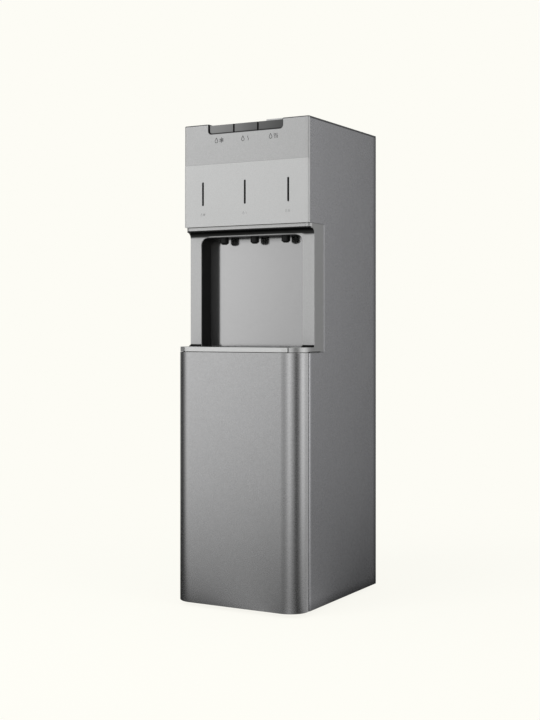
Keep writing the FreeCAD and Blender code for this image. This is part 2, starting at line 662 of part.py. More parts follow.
def build_moulding():
    wall = MOULD_WALL
    jamb_back = JAMB_DEPTH + wall
    cove = min(COVE_RADIUS, LIP_BOTTOM - RECESS_TOP - 0.1)
    nose = from_side([(LIP_DEPTH, LIP_TOP, 0.6), (LIP_DEPTH, LIP_BOTTOM, 0.8),
                      (JAMB_DEPTH, LIP_BOTTOM, cove), (JAMB_DEPTH, RECESS_TOP, 0),
                      (jamb_back, RECESS_TOP, 0), (jamb_back, LIP_TOP, 0)], -HALF, HALF)
    nose = nose.common(lip_plan(0, jamb_back, RECESS_TOP - 1, LIP_TOP + 1))
    nose = nose.cut(lip_plan(wall, jamb_back + 1, LIP_BOTTOM + wall, LIP_TOP + 1))
    jambs = from_front(rectangle(-HALF, HALF, SHELF_TOP - 1, COVE_BOTTOM), JAMB_DEPTH, jamb_back)
    arch = from_front(recess_outline(0, SHELF_BOTTOM - 1), JAMB_DEPTH - 1, jamb_back + 1)
    jambs = jambs.cut(arch)
    wraps = []
    for sign in (-1, 1):
        edges = sorted((sign * (HALF - wall), sign * HALF))
        wraps.append(box(edges[0], edges[1], JAMB_DEPTH, WRAP_DEPTH, SHELF_BOTTOM, LIP_TOP))
    shelf = from_above(shelf_outline(), SHELF_BOTTOM, SHELF_TOP)
    channel = RECESS_HALF - FIT_GAP + TRAY_CORNER_GAP
    shelf_front = -DOOR_STAND_OUT + TRAY_INSET
    shelf = shelf.cut(box(-channel, channel, shelf_front - 1, WRAP_DEPTH + 1,
                          SHELF_FLOOR_TOP, SHELF_TOP + 1))
    strip_back = shelf_front + TRAY_STRIP + 0.5
    strip_gap = box(-channel, channel, shelf_front - 1, strip_back, SHELF_BOTTOM - 1, SHELF_TOP)
    shelf = shelf.cut(strip_gap)
    frame = fuse(shelf, nose, jambs, *wraps)
    for sign in (-1, 1):
        edges = sorted((sign * (HALF - JAMB_EDGE), sign * (HALF + 1)))
        sharp = box(edges[0], edges[1], JAMB_DEPTH - 1, JAMB_DEPTH + JAMB_EDGE,
                    SHELF_TOP, LIP_BOTTOM - cove)
        round_part = rod(JAMB_EDGE, RECESS_HEIGHT * 2, sign * (HALF - JAMB_EDGE), JAMB_DEPTH + JAMB_EDGE,
                         SHELF_TOP, UP)
        frame = frame.cut(sharp.cut(round_part))
    seat = rod(HINGE_PIN_RADIUS + 0.02, HINGE_PIN_SEAT + 0.2, HINGE_X, HINGE_DEPTH, SHELF_BOTTOM - 0.1, UP)
    frame = frame.cut(seat)

    # The light bar is a dark skin let into the cove.
    skin = LIGHT_BAR_SKIN
    bar_front = LIP_DEPTH + LIGHT_BAR_BORDER
    band = from_side([(bar_front, LIP_BOTTOM, 0), (JAMB_DEPTH, LIP_BOTTOM, cove),
                      (JAMB_DEPTH, RECESS_TOP, 0), (JAMB_DEPTH + skin, RECESS_TOP, 0),
                      (JAMB_DEPTH + skin, LIP_BOTTOM + skin, cove + skin),
                      (bar_front, LIP_BOTTOM + skin, 0)], -HALF, HALF)
    bar = band.common(lip_plan(LIGHT_BAR_BORDER, jamb_back, COVE_BOTTOM + LIGHT_BAR_RISE, LIP_TOP))
    shapes["light_bar"] = bar
    shapes["dispenser_frame"] = frame.cut(bar)

    ramp = from_side([(JAMB_DEPTH - RAMP_DEPTH, SHELF_TOP, 0), (JAMB_DEPTH, SHELF_TOP, 0),
                      (JAMB_DEPTH, SHELF_TOP + RAMP_HEIGHT, 0)], RECESS_HALF, HALF - RAMP_SIDE_GAP)
    shapes["shelf_seals"] = group([ramp, mirrored(ramp)])

    foot = SHELF_FLOOR_TOP + FIT_GAP
    steel_back = RECESS_BACK + STEEL_LINING
    liner = from_front(recess_outline(LINER_WALL, foot), jamb_back, steel_back + LINER_WALL)
    liner = liner.cut(from_front(recess_outline(0, foot - 1), jamb_back - 1, steel_back))
    for x in SPOUTS.values():
        liner = liner.cut(rod(SPOUT_RADIUS + FIT_GAP, 10.0, x, SPOUT_DEPTH, RECESS_TOP - 4, UP))
    shapes["recess_liner"] = liner
    shapes["recess_back_panel"] = from_front(recess_outline(-0.2, foot), RECESS_BACK, steel_back)


def build_spouts():
    ceiling = RECESS_TOP + LINER_WALL
    tip = RECESS_TOP - SPOUT_DROP
    valves = []
    for name, x in SPOUTS.items():
        place = Vector(x, at(SPOUT_DEPTH), 0)
        spout = fuse(
            Part.makeCone(SPOUT_TIP_RADIUS, SPOUT_RADIUS, SPOUT_CHAMFER, place + UP * tip, UP),
            rod(SPOUT_RADIUS, ceiling - tip - SPOUT_CHAMFER, x, SPOUT_DEPTH, tip + SPOUT_CHAMFER, UP),
            rod(SPOUT_FLANGE_RADIUS, 2.5, x, SPOUT_DEPTH, ceiling, UP),
            rod(SPOUT_RADIUS - 3.0, 6.0, x, SPOUT_DEPTH, ceiling, UP),
        )
        shapes["spout_" + name] = spout.cut(rod(SPOUT_BORE, 40.0, x, SPOUT_DEPTH, tip - 1, UP))
        half = VALVE_WIDTH / 2
        base = ceiling + 2.5
        body = box(x - half, x + half, SPOUT_DEPTH - half, SPOUT_DEPTH + half, base, base + VALVE_HEIGHT)
        body = round_edges(body, 2.0, lambda e: abs(e.tangentAt(e.FirstParameter).z) > 0.9)
        body = body.cut(rod(SPOUT_RADIUS - 3.0 + FIT_GAP, 4.0, x, SPOUT_DEPTH, base - 0.1, UP))
        port_z = base + VALVE_PORT_RISE
        body = fuse(body, rod(VALVE_PORT_RADIUS, VALVE_PORT, x, SPOUT_DEPTH + half, port_z, BACK))
        port_bore = rod(VALVE_PORT_RADIUS - 1.5, VALVE_PORT + 2, x, SPOUT_DEPTH + half + 1.0, port_z, BACK)
        valves.append(body.cut(port_bore))
    shapes["solenoid_valves"] = group(valves)


def build_drip_tray():
    front = -DOOR_STAND_OUT + TRAY_INSET
    back = RECESS_BACK - FIT_GAP * 2
    blank = from_above(shelf_outline(), SHELF_BOTTOM, SHELF_TOP)
    blank = round_edges(blank, 0.6, lambda e: e.CenterOfMass.y < at(0) - 1
                        and abs(e.tangentAt(e.FirstParameter).z) < 0.5)
    tray = blank.common(box(-TRAY_HALF, TRAY_HALF, front - 1, back, SHELF_BOTTOM - 1, SHELF_TOP + 1))
    tray = tray.cut(box(-TRAY_HALF - 1, TRAY_HALF + 1, front + TRAY_STRIP, back + 1,
                        SHELF_BOTTOM - 1, TRAY_BOTTOM))
    grille_half = TRAY_HALF - TRAY_RIM + GRILLE_SIDE_OVERLAP
    grille_front = front + TRAY_RIM - 2.0
    grille_back = back - GRILLE_BACK_RIM
    seat_z = SHELF_TOP - GRILLE_THICKNESS - 0.2
    seat = from_above(rectangle(-grille_half, grille_half, grille_front, grille_back, GRILLE_CORNER),
                      seat_z, SHELF_TOP + 1)
    ledge = GRILLE_LEDGE
    basin = from_above(rectangle(-grille_half + ledge, grille_half - ledge, grille_front + TRAY_STRIP - 4.0,
                                 grille_back - ledge, 6.0), TRAY_BOTTOM + TRAY_FLOOR, SHELF_TOP)
    shapes["drip_tray"] = tray.cut(seat).cut(basin)

    plate = rectangle(-grille_half + FIT_GAP, grille_half - FIT_GAP, grille_front + FIT_GAP,
                      grille_back - FIT_GAP, GRILLE_CORNER - FIT_GAP)
    grille = from_above(plate, seat_z, seat_z + GRILLE_THICKNESS)
    slots = []
    count = int((2 * grille_half - 2 * GRILLE_MARGIN) / GRILLE_PITCH)
    middle = (grille_front + grille_back) / 2
    for row in (grille_front + 9.0, middle + GRILLE_BAR / 2):
        row_end = row + (grille_back - grille_front) / 2 - GRILLE_MARGIN
        for i in range(count + 1):
            x = (i - count / 2) * GRILLE_PITCH
            slots.append(from_above(rectangle(x - GRILLE_SLOT / 2, x + GRILLE_SLOT / 2, row, row_end,
                                              GRILLE_SLOT / 2 - 0.01), seat_z - 1, seat_z + 3))
    shapes["drip_grille"] = grille.cut(group(slots))


# Upper fascia and keys

def fascia_plan(proud, z0, z1):
    """The fascia's plan with its rounded corners, its front proud of the fascia's plane."""
    return from_above([(-HALF, -proud, BAND_CORNER), (HALF, -proud, BAND_CORNER), (HALF, BAND_CORNER, 0),
                       (-HALF, BAND_CORNER, 0)], z0, z1)


def build_fascia():
    wall = FASCIA_WALL
    top = HEIGHT - COVER_FRONT_EDGE - 0.1
    band = fascia_plan(0, PLATE_TOP + 0.3, top)
    inner = HALF - wall
    inner_corner = BAND_CORNER - wall
    band = band.cut(from_above([(-inner, wall, inner_corner), (inner, wall, inner_corner),
                                (inner, BAND_CORNER + 1, 0), (-inner, BAND_CORNER + 1, 0)],
                               PLATE_TOP, top + 1))
    backing = box(-HALF, HALF, wall, BAND_CORNER, PLATE_BOTTOM, PLATE_TOP + 8.0)
    backing = backing.common(fascia_plan(0, PLATE_BOTTOM - 1, top))
    returns = []
    for sign in (-1, 1):
        edges = sorted((sign * (INNER - wall), sign * INNER))
        returns.append(box(edges[0], edges[1], wall, FASCIA_RETURN, PLATE_BOTTOM, COVER_BOTTOM - FIT_GAP))
    board_front = wall + 7.5
    bosses = []
    for sign in (-1, 1):
        for z in (PLATE_BOTTOM + 20.0, PLATE_TOP - 10.0):
            bosses.append(rod(4.0, board_front - BAND_CORNER, sign * 110.0, BAND_CORNER, z, BACK))
    fascia = fuse(band, backing, *returns, *bosses)
    half = NOTCH_WIDTH / 2
    notch = from_front([(-half, NOTCH_BOTTOM, NOTCH_CORNER), (half, NOTCH_BOTTOM, NOTCH_CORNER),
                        (half, HEIGHT + 1, 0), (-half, HEIGHT + 1, 0)], -1, wall + 1)
    shapes["control_fascia"] = fascia.cut(notch)

    plate = from_front([(-HALF, PLATE_BOTTOM, 0), (HALF, PLATE_BOTTOM, 0), (HALF, PLATE_TOP, PLATE_CORNER),
                        (-HALF, PLATE_TOP, PLATE_CORNER)], -PLATE_PROUD, wall - 0.2)
    plate = plate.common(fascia_plan(PLATE_PROUD, PLATE_BOTTOM - 1, PLATE_TOP + 1))
    windows = []
    slit_z = PLATE_BOTTOM + SLIT_RISE
    for x in (-SLIT_SPACING, 0.0, SLIT_SPACING):
        slit = slit_outline(x, slit_z, 0.0)
        plate = plate.cut(from_front(slit, -PLATE_PROUD - 1, wall))
        windows.append(from_front(slit_outline(x, slit_z, 0.1), -PLATE_PROUD + 0.4, wall))
    shapes["indicator_plate"] = plate
    shapes["indicator_windows"] = group(windows)

    board = box(-BOARD_HALF, BOARD_HALF, board_front, board_front + BOARD_THICKNESS,
                PLATE_BOTTOM + 8.0, PLATE_TOP - 2.0)
    parts_on_board = []
    board_back = wall + 9.1
    for x in (-90.0, -60.0, 70.0):
        relay = box(x - RELAY_HALF, x + RELAY_HALF, board_back, wall + 24.0,
                    PLATE_TOP - 45.0, PLATE_TOP - 20.0)
        parts_on_board.append(relay)
    socket = box(-20.0, 25.0, board_back, wall + 17.0, PLATE_TOP - 40.0, PLATE_TOP - 30.0)
    parts_on_board.append(socket)
    shapes["control_board"] = fuse(board, *parts_on_board)


def slit_outline(x, z, shrink):
    half = SLIT_WIDTH / 2 - shrink
    tall = SLIT_LENGTH / 2 - shrink
    return rectangle(x - half, x + half, z - tall, z + tall, half - 0.01)


def key_spans():
    outer = NOTCH_WIDTH / 2 - KEY_SIDE_GAP
    middle = (NOTCH_WIDTH / 2 - KEY_GAP) / 3 - 1.5
    return {"cold": (-outer, -middle - KEY_GAP), "room": (-middle, middle), "hot": (middle + KEY_GAP, outer)}


def build_keys():
    top = KEY_TOP
    skirt_end = top - KEY_SKIRT
    back = KEY_LENGTH
    for name, (x0, x1) in key_spans().items():
        cap = from_side([(KEY_RECESS, top, 2.5), (back, top, 0.8), (back, top - KEY_WALL, 0),
                         (KEY_RECESS + KEY_WALL, top - KEY_WALL, 0.8), (KEY_RECESS + KEY_WALL, skirt_end, 0),
                         (KEY_RECESS, skirt_end, 0)], x0, x1)
        pieces = [cap]
        for wall_x in (x0, x1 - 2.0):
            pieces.append(from_side([(KEY_RECESS, top, 2.5), (back, top, 0.8), (back, top - 12.0, 0),
                                     (KEY_RECESS, skirt_end, 0)], wall_x, wall_x + 2.0))
        middle = (x0 + x1) / 2
        pieces.append(box(middle - 1.0, middle + 1.0, 16.0, 20.0, skirt_end + 2.0, top - KEY_WALL))
        for arm_x in (x0 + 6.0, x1 - 10.0):
            arm = fuse(box(arm_x, arm_x + 4.0, back - 12.0, back, KEY_PIVOT_Z - 4.0, top - KEY_WALL),
                       box(arm_x, arm_x + 4.0, back - 12.0, KEY_PIVOT_DEPTH,
                           KEY_PIVOT_Z - 4.0, KEY_PIVOT_Z + 4.0),
                       rod(4.4, 4.0, arm_x, KEY_PIVOT_DEPTH, KEY_PIVOT_Z, RIGHT))
            pieces.append(arm)
        key = fuse(*pieces)
        key = key.cut(rod(KEY_ROD_RADIUS + ROD_CLEARANCE, x1 - x0, x0, KEY_PIVOT_DEPTH, KEY_PIVOT_Z, RIGHT))
        shapes["key_" + name] = key

    wall = CARRIER_WALL
    inner = NOTCH_WIDTH / 2 + 1.5
    outer = inner + wall
    wall_top = COVER_BOTTOM - FIT_GAP
    rear = KEY_PIVOT_DEPTH + 8.0
    front = FASCIA_WALL + FIT_GAP
    carrier = box(-outer, outer, front, rear, CARRIER_FLOOR, wall_top)
    carrier = carrier.cut(box(-inner, inner, front - 1, rear - wall, CARRIER_FLOOR + wall, wall_top + 1))
    axis = (KEY_PIVOT_DEPTH, KEY_PIVOT_Z, RIGHT)
    shapes["key_carrier"] = carrier.cut(rod(KEY_ROD_RADIUS + 0.02, 2 * outer + 2, -outer - 1, *axis))
    shapes["key_pivot_rod"] = rod(KEY_ROD_RADIUS, 2 * outer - 0.2, -outer + 0.1, *axis)

    switches = []
    floor = CARRIER_FLOOR + wall
    plunger_top = KEY_TOP - KEY_SKIRT + 2.0 - 1.9
    for x0, x1 in key_spans().values():
        middle = (x0 + x1) / 2
        body = box(middle - SWITCH_HALF, middle + SWITCH_HALF, SWITCH_FRONT, SWITCH_BACK,
                   floor, plunger_top - 1.5)
        plunger = rod(PLUNGER_RADIUS, 1.6, middle, 18.0, plunger_top - 1.6, UP)
        switches.append(fuse(body, plunger))
    shapes["key_switches"] = group(switches)

    # The child lock slides in a slot in the hot key's top, held by a foot underneath.
    x1 = key_spans()["hot"][1] - 3.0
    x0 = x1 - LOCK_LENGTH
    depth0 = KEY_RECESS + 3.0
    pad_z = KEY_TOP + 0.1
    pad = box(x0, x1, depth0, depth0 + LOCK_WIDTH, pad_z, HEIGHT + LOCK_PROUD)
    pad = round_edges(pad, 1.2, lambda e: e.CenterOfMass.z > pad_z + 0.5)
    keel_x = (x0 + x1) / 2
    keel_depth = depth0 + LOCK_WIDTH / 2
    half, thick = KEEL_HALF, KEEL_HALF_DEPTH
    under = KEY_TOP - KEY_WALL
    foot_bottom = under - 1.4
    keel = box(keel_x - half, keel_x + half, keel_depth - thick, keel_depth + thick, foot_bottom, pad_z + 1)
    foot = box(keel_x - half, keel_x + half, keel_depth - 4.5, keel_depth + 4.5, foot_bottom, under - 0.2)
    shapes["child_lock"] = fuse(pad, keel, foot)
    slot = box(keel_x - half - LOCK_TRAVEL - 0.4, keel_x + half + 0.4,
               keel_depth - thick - 0.3, keel_depth + thick + 0.3, under - 0.1, KEY_TOP + 1)
    rib_relief = box(keel_x - half - 1 - LOCK_TRAVEL, keel_x + half + 1,
                     keel_depth - 5.0, keel_depth + 5.0, under - 3.0, under)
    shapes["key_hot"] = shapes["key_hot"].cut(slot).cut(rib_relief)


# Machine space

def helix_edges(radius, pitch, turns, centre, z0):
    """A helix as pairs of arcs, each pair a quarter turn, tangent to each other and to the next pair."""
    edges = []
    for quarter in range(turns * 4):
        a0 = math.pi / 2 * quarter
        a1 = a0 + math.pi / 2
        lift = pitch / 4

        def point(angle, z):
            return Vector(centre.x + radius * math.cos(angle), centre.y + radius * math.sin(angle), z)

        def heading(angle):
            slope = pitch / (2 * math.pi)
            tangent = Vector(-radius * math.sin(angle), radius * math.cos(angle), slope)
            return tangent.normalize()

        start = point(a0, z0 + quarter * lift)
        end = point(a1, z0 + (quarter + 1) * lift)
        out, into = heading(a0), heading(a1)
        # Both arcs have equal control lengths, which fixes where they meet.
        chord = end - start
        sum_dot = chord.dot(out + into)
        denominator = 2 * (1 - out.dot(into))
        length = (math.sqrt(sum_dot ** 2 + denominator * chord.dot(chord)) - sum_dot) / denominator
        meet = (start + out * length + end - into * length) * 0.5
        edges.append(arc_from(start, out, meet))
        edges.append(arc_from(end, into * -1, meet))
    return edges


def arc_from(start, heading, end):
    """The arc that leaves start along heading and ends at end."""
    chord = end - start
    along = heading.dot(chord)
    across = chord - heading * along
    angle = math.atan2(across.Length, along)
    radius = chord.Length / (2 * math.sin(angle))
    side = across.normalize()
    middle = start + heading * (radius * math.sin(angle)) + side * (radius * (1 - math.cos(angle)))
    return Part.Arc(start, middle, end).toShape()


def sweep(edges, radius):
    path = Part.Wire(Part.__sortEdges__(edges))
    first = path.OrderedEdges[0]
    start = first.valueAt(first.FirstParameter)
    end = first.valueAt(first.LastParameter)
    whole_start = path.OrderedVertexes[0].Point
    heading = first.tangentAt(first.FirstParameter)
    if (start - whole_start).Length > (end - whole_start).Length:
        start = end
        heading = first.tangentAt(first.LastParameter) * -1
    profile = Part.Wire([Part.Circle(start, heading, radius).toShape()])
    return path.makePipeShell([profile], True, False)


def tank_places():
    """The hot tank's x, and the cold tank's x, half-width of foam and depth."""
    hot_reach = HOT_RADIUS + HOT_JACKET_WALL
    hot_x = INNER - HOT_WALL_GAP - hot_reach
    foam_x0 = -INNER + TANK_CLEARANCE
    foam_x1 = hot_x - hot_reach - TANK_CLEARANCE
    foam_back = BACK_PANEL_DEPTH - TANK_BACK_GAP
    foam_front = SPOUT_DEPTH + VALVE_WIDTH / 2 + VALVE_PORT + TANK_CLEARANCE
    foam_half = min(foam_x1 - foam_x0, foam_back - foam_front) / 2
    return hot_x, (foam_x0 + foam_x1) / 2, foam_half, foam_back - foam_half


def build_tanks():
    hot_x, cold_x, foam_half, depth = tank_places()
    shelf_back = BACK_PANEL_DEPTH - BACK_PANEL - FIT_GAP
    shelf_front = RECESS_BACK + STEEL_LINING + LINER_WALL + 2.0
    shelf = box(-INNER, INNER, shelf_front, shelf_back, TANK_SHELF_TOP - SHELF_SHEET, TANK_SHELF_TOP)
    for sign in (-1, 1):
        edges = sorted((sign * (INNER - SHEET), sign * INNER))
        shelf = fuse(shelf, box(edges[0], edges[1], shelf_front, shelf_back,
                                TANK_SHELF_TOP - 18.0, TANK_SHELF_TOP))
    hot_depth = shelf_back - 30.0 - HOT_RADIUS - HOT_JACKET_WALL
    shelf = shelf.cut(rod(16.0, 8.0, hot_x, hot_depth, TANK_SHELF_TOP - 4.0, UP))
    shapes["tank_shelf"] = shelf

    base = TANK_SHELF_TOP
    jacket = rod(HOT_RADIUS + HOT_JACKET_WALL, HOT_HEIGHT - 10.0, hot_x, hot_depth, base, UP)
    jacket = jacket.cut(rod(HOT_RADIUS + 0.3, HOT_HEIGHT, hot_x, hot_depth, base + HOT_JACKET_WALL, UP))
    jacket = jacket.cut(rod(12.0, 20.0, hot_x, hot_depth, base - 4.0, UP))
    shapes["hot_tank_jacket"] = jacket
    tank_base = base + HOT_JACKET_WALL
    tank = rod(HOT_RADIUS, HOT_HEIGHT, hot_x, hot_depth, tank_base, UP)
    tank = round_edges(tank, 8.0, lambda e: e.Length > 50 and abs(e.tangentAt(e.FirstParameter).z) < 0.1)
    tank = tank.cut(rod(HOT_RADIUS - TANK_WALL, HOT_HEIGHT - 20.0, hot_x, hot_depth, tank_base + 10.0, UP))
    tank = tank.cut(rod(14.0, 20.0, hot_x, hot_depth, tank_base + HOT_HEIGHT - 12.0, UP))
    outlet = rod(6.0, 26.0, hot_x, hot_depth, tank_base - 26.0, UP)
    tank = fuse(tank, outlet).cut(rod(4.0, 40.0, hot_x, hot_depth, tank_base - 27.0, UP))
    shapes["hot_tank"] = tank
    flange_z = tank_base + HOT_HEIGHT
    reach = HEATER_ROD_LENGTH
    heater = rod(HEATER_FLANGE_RADIUS, 4.0, hot_x, hot_depth, flange_z, UP)
    for x in (hot_x - HEATER_SPREAD, hot_x + HEATER_SPREAD):
        heated = rod(HEATER_ROD_RADIUS, reach, x, hot_depth, flange_z - reach, UP)
        terminal = rod(2.0, 10.0, x, hot_depth, flange_z + 4.0, UP)
        heater = fuse(heater, heated, terminal)
    heater = fuse(heater, rod(4.0, 21.0, hot_x - 10.5, hot_depth, flange_z - reach + 4.0, RIGHT))
    shapes["heater_element"] = heater

    # Cold tank with its evaporator wound round it, in a block of foam.
    tank_radius = foam_half - FOAM_WALL - 2 * COIL_TUBE_RADIUS - 1.6
    cavity = foam_half - FOAM_WALL
    foam = box(cold_x - foam_half, cold_x + foam_half, depth - foam_half, depth + foam_half,
               base, base + FOAM_BASE + COLD_HEIGHT)
    foam = round_edges(foam, 10.0, lambda e: abs(e.tangentAt(e.FirstParameter).z) > 0.9)
    foam = foam.cut(rod(cavity, COLD_HEIGHT + 1.0, cold_x, depth, base + FOAM_BASE, UP))
    foam = foam.cut(rod(5.0, foam_half + 5.0, cold_x, depth + 10.0, base + FOAM_BASE + 6.0, BACK))
    shapes["cold_tank_foam"] = foam
    tank_base = base + FOAM_BASE
    tank = rod(tank_radius, COLD_HEIGHT, cold_x, depth, tank_base, UP)
    inside = rod(tank_radius - TANK_WALL, COLD_HEIGHT, cold_x, depth, tank_base + TANK_WALL, UP)
    shapes["cold_tank"] = tank.cut(inside)
    coil_radius = tank_radius + 0.8 + COIL_TUBE_RADIUS
    coil_z = tank_base + 40.0
    coil = sweep(helix_edges(coil_radius, COIL_PITCH, COIL_TURNS, Vector(cold_x, at(depth), 0), coil_z),
                 COIL_TUBE_RADIUS)
    print("evaporator gap to itself", round(COIL_PITCH - 2 * COIL_TUBE_RADIUS, 2),
          "volume ratio", round(coil.Volume / (math.pi * COIL_TUBE_RADIUS ** 2 * COIL_TURNS
                                               * math.hypot(2 * math.pi * coil_radius, COIL_PITCH)), 4))
    shapes["evaporator_coil"] = coil
    lid_z = tank_base + COLD_HEIGHT + FIT_GAP
    lid = rod(tank_radius + 2.0, 4.0, cold_x, depth, lid_z, UP)
    plug = rod(tank_radius - TANK_WALL - 0.4, 4.0, cold_x, depth, lid_z - 4.0, UP)
    stem_length = COLD_HEIGHT - 50.0
    stem = rod(FLOAT_STEM_RADIUS, stem_length, cold_x, depth, lid_z - stem_length, UP)
    lid = fuse(lid, plug, stem,
               rod(5.5, 2.0, cold_x, depth, lid_z - stem_length, UP),
               rod(7.0, 8.0, cold_x, depth, lid_z + 4.0, UP))
    shapes["cold_tank_lid"] = lid
    float_z = lid_z - stem_length + 2.1
    half = FLOAT_HEIGHT / 2
    ball = rod(FLOAT_RADIUS, FLOAT_HEIGHT, cold_x, depth, float_z, UP)
    ball = round_edges(ball, 4.0, lambda e: abs(e.CenterOfMass.z - float_z - half) > half - 0.1)
    shapes["level_float"] = ball.cut(rod(FLOAT_STEM_RADIUS + 0.3, 30.0, cold_x, depth, float_z - 1, UP))


def compressor_place():
    width, length = COMPRESSOR_FOOT[:2]
    return -(INNER - width / 2 - 6.0), BACK_PANEL_DEPTH - BACK_PANEL - length / 2 - 22.0


def build_machine():
    x, depth = compressor_place()
    width, length, thick = COMPRESSOR_FOOT
    foot_z = DECK_TOP + GROMMET_HEIGHT
    outline = rectangle(x - width / 2, x + width / 2, depth - length / 2, depth + length / 2, 12.0)
    foot = from_above(outline, foot_z, foot_z + thick)
    shell = rod(COMPRESSOR_RADIUS, COMPRESSOR_HEIGHT, x, depth, foot_z - 6.0, UP)
    shell = round_edges(shell, 26.0, lambda e: e.CenterOfMass.z > foot_z + 20 and e.Length > 50
                        and abs(e.tangentAt(e.FirstParameter).z) < 0.1)
    shell = round_edges(shell, 5.0, lambda e: e.CenterOfMass.z < foot_z and e.Length > 50)
    seam_ring = rod(COMPRESSOR_RADIUS + 2.0, 4.0, x, depth, foot_z + COMPRESSOR_HEIGHT * 0.45, UP)
    stub_z = foot_z + COMPRESSOR_HEIGHT * 0.6
    stub = rod(LINE_RADIUS + 1.5, COMPRESSOR_RADIUS + 14.0, x, depth, stub_z, BACK)
    start_box = box(x + COMPRESSOR_RADIUS - 8, x + COMPRESSOR_RADIUS + 14, depth - 20, depth + 20,
                    foot_z + 30.0, foot_z + 62.0)
    compressor = fuse(foot, shell, seam_ring, stub, start_box)
    grommets, bolts = [], []
    for sx in (-1, 1):
        for sy in (-1, 1):
            gx, gd = x + sx * (width / 2 - 12.0), depth + sy * (length / 2 - 12.0)
            compressor = compressor.cut(rod(3.3, thick + 2, gx, gd, foot_z - 1, UP))
            grommet = fuse(rod(GROMMET_RADIUS, GROMMET_HEIGHT - 4.0, gx, gd, DECK_TOP, UP),
                           rod(GROMMET_RADIUS - 3.0, GROMMET_HEIGHT, gx, gd, DECK_TOP, UP))
            grommets.append(grommet.cut(rod(3.1, GROMMET_HEIGHT + 1, gx, gd, DECK_TOP - 0.5, UP)))
            bolts.append(fuse(rod(3.0, GROMMET_HEIGHT + thick + 0.2, gx, gd, DECK_TOP, UP),
                              rod(6.5, 4.0, gx, gd, foot_z + thick + 0.2, UP)))
    shapes["compressor"] = compressor
    shapes["compressor_grommets"] = group(grommets)
    fasteners.extend(bolts)

    # The pump lies on the deck beside the recess's back wall.
    pump_x = INNER - 46.0
    pump_depth = RECESS_BACK + 40.0
    pad_top = DECK_TOP + PUMP_PAD
    head_top = DECK_TOP + PUMP_HEAD_HEIGHT
    head = box(pump_x - PUMP_HALF, pump_x + PUMP_HALF, pump_depth - PUMP_HALF_DEPTH,
               pump_depth + PUMP_HALF_DEPTH, pad_top, head_top)
    head = round_edges(head, 5.0, lambda e: abs(e.tangentAt(e.FirstParameter).y) > 0.9)
    motor_z = (pad_top + head_top) / 2
    motor = rod(MOTOR_RADIUS, MOTOR_LENGTH, pump_x, pump_depth + PUMP_HALF_DEPTH, motor_z, BACK)
    ports = []
    for sign in (-1, 1):
        ports.append(rod(4.0, 14.0, pump_x + sign * PUMP_PORT_SPREAD, pump_depth, head_top, UP))
    foot_half = PUMP_HALF - 2.0
    foot = box(pump_x - foot_half, pump_x + foot_half, pump_depth - 12.0, pump_depth + 70.0,
               DECK_TOP, pad_top)
    cradle = box(pump_x - 14.0, pump_x + 14.0, pump_depth + 30.0, pump_depth + 50.0,
                 DECK_TOP, DECK_TOP + 12.0)
    shapes["water_pump"] = fuse(head, motor, foot, cradle, *ports)


def condenser_depth():
    return BACK_PANEL_DEPTH + BACK_RECESS / 2 + 1.0


def condenser_bottom():
    return SERVICE_Z + 52.0


def condenser_ends():
    """Where the condenser's tube passes forward through the upper back panel."""
    top = condenser_bottom() + (CONDENSER_RUNS - 1) * CONDENSER_PITCH
    x = -CONDENSER_HALF - CONDENSER_CORNER
    return [(x, condenser_bottom()), (x, top)]


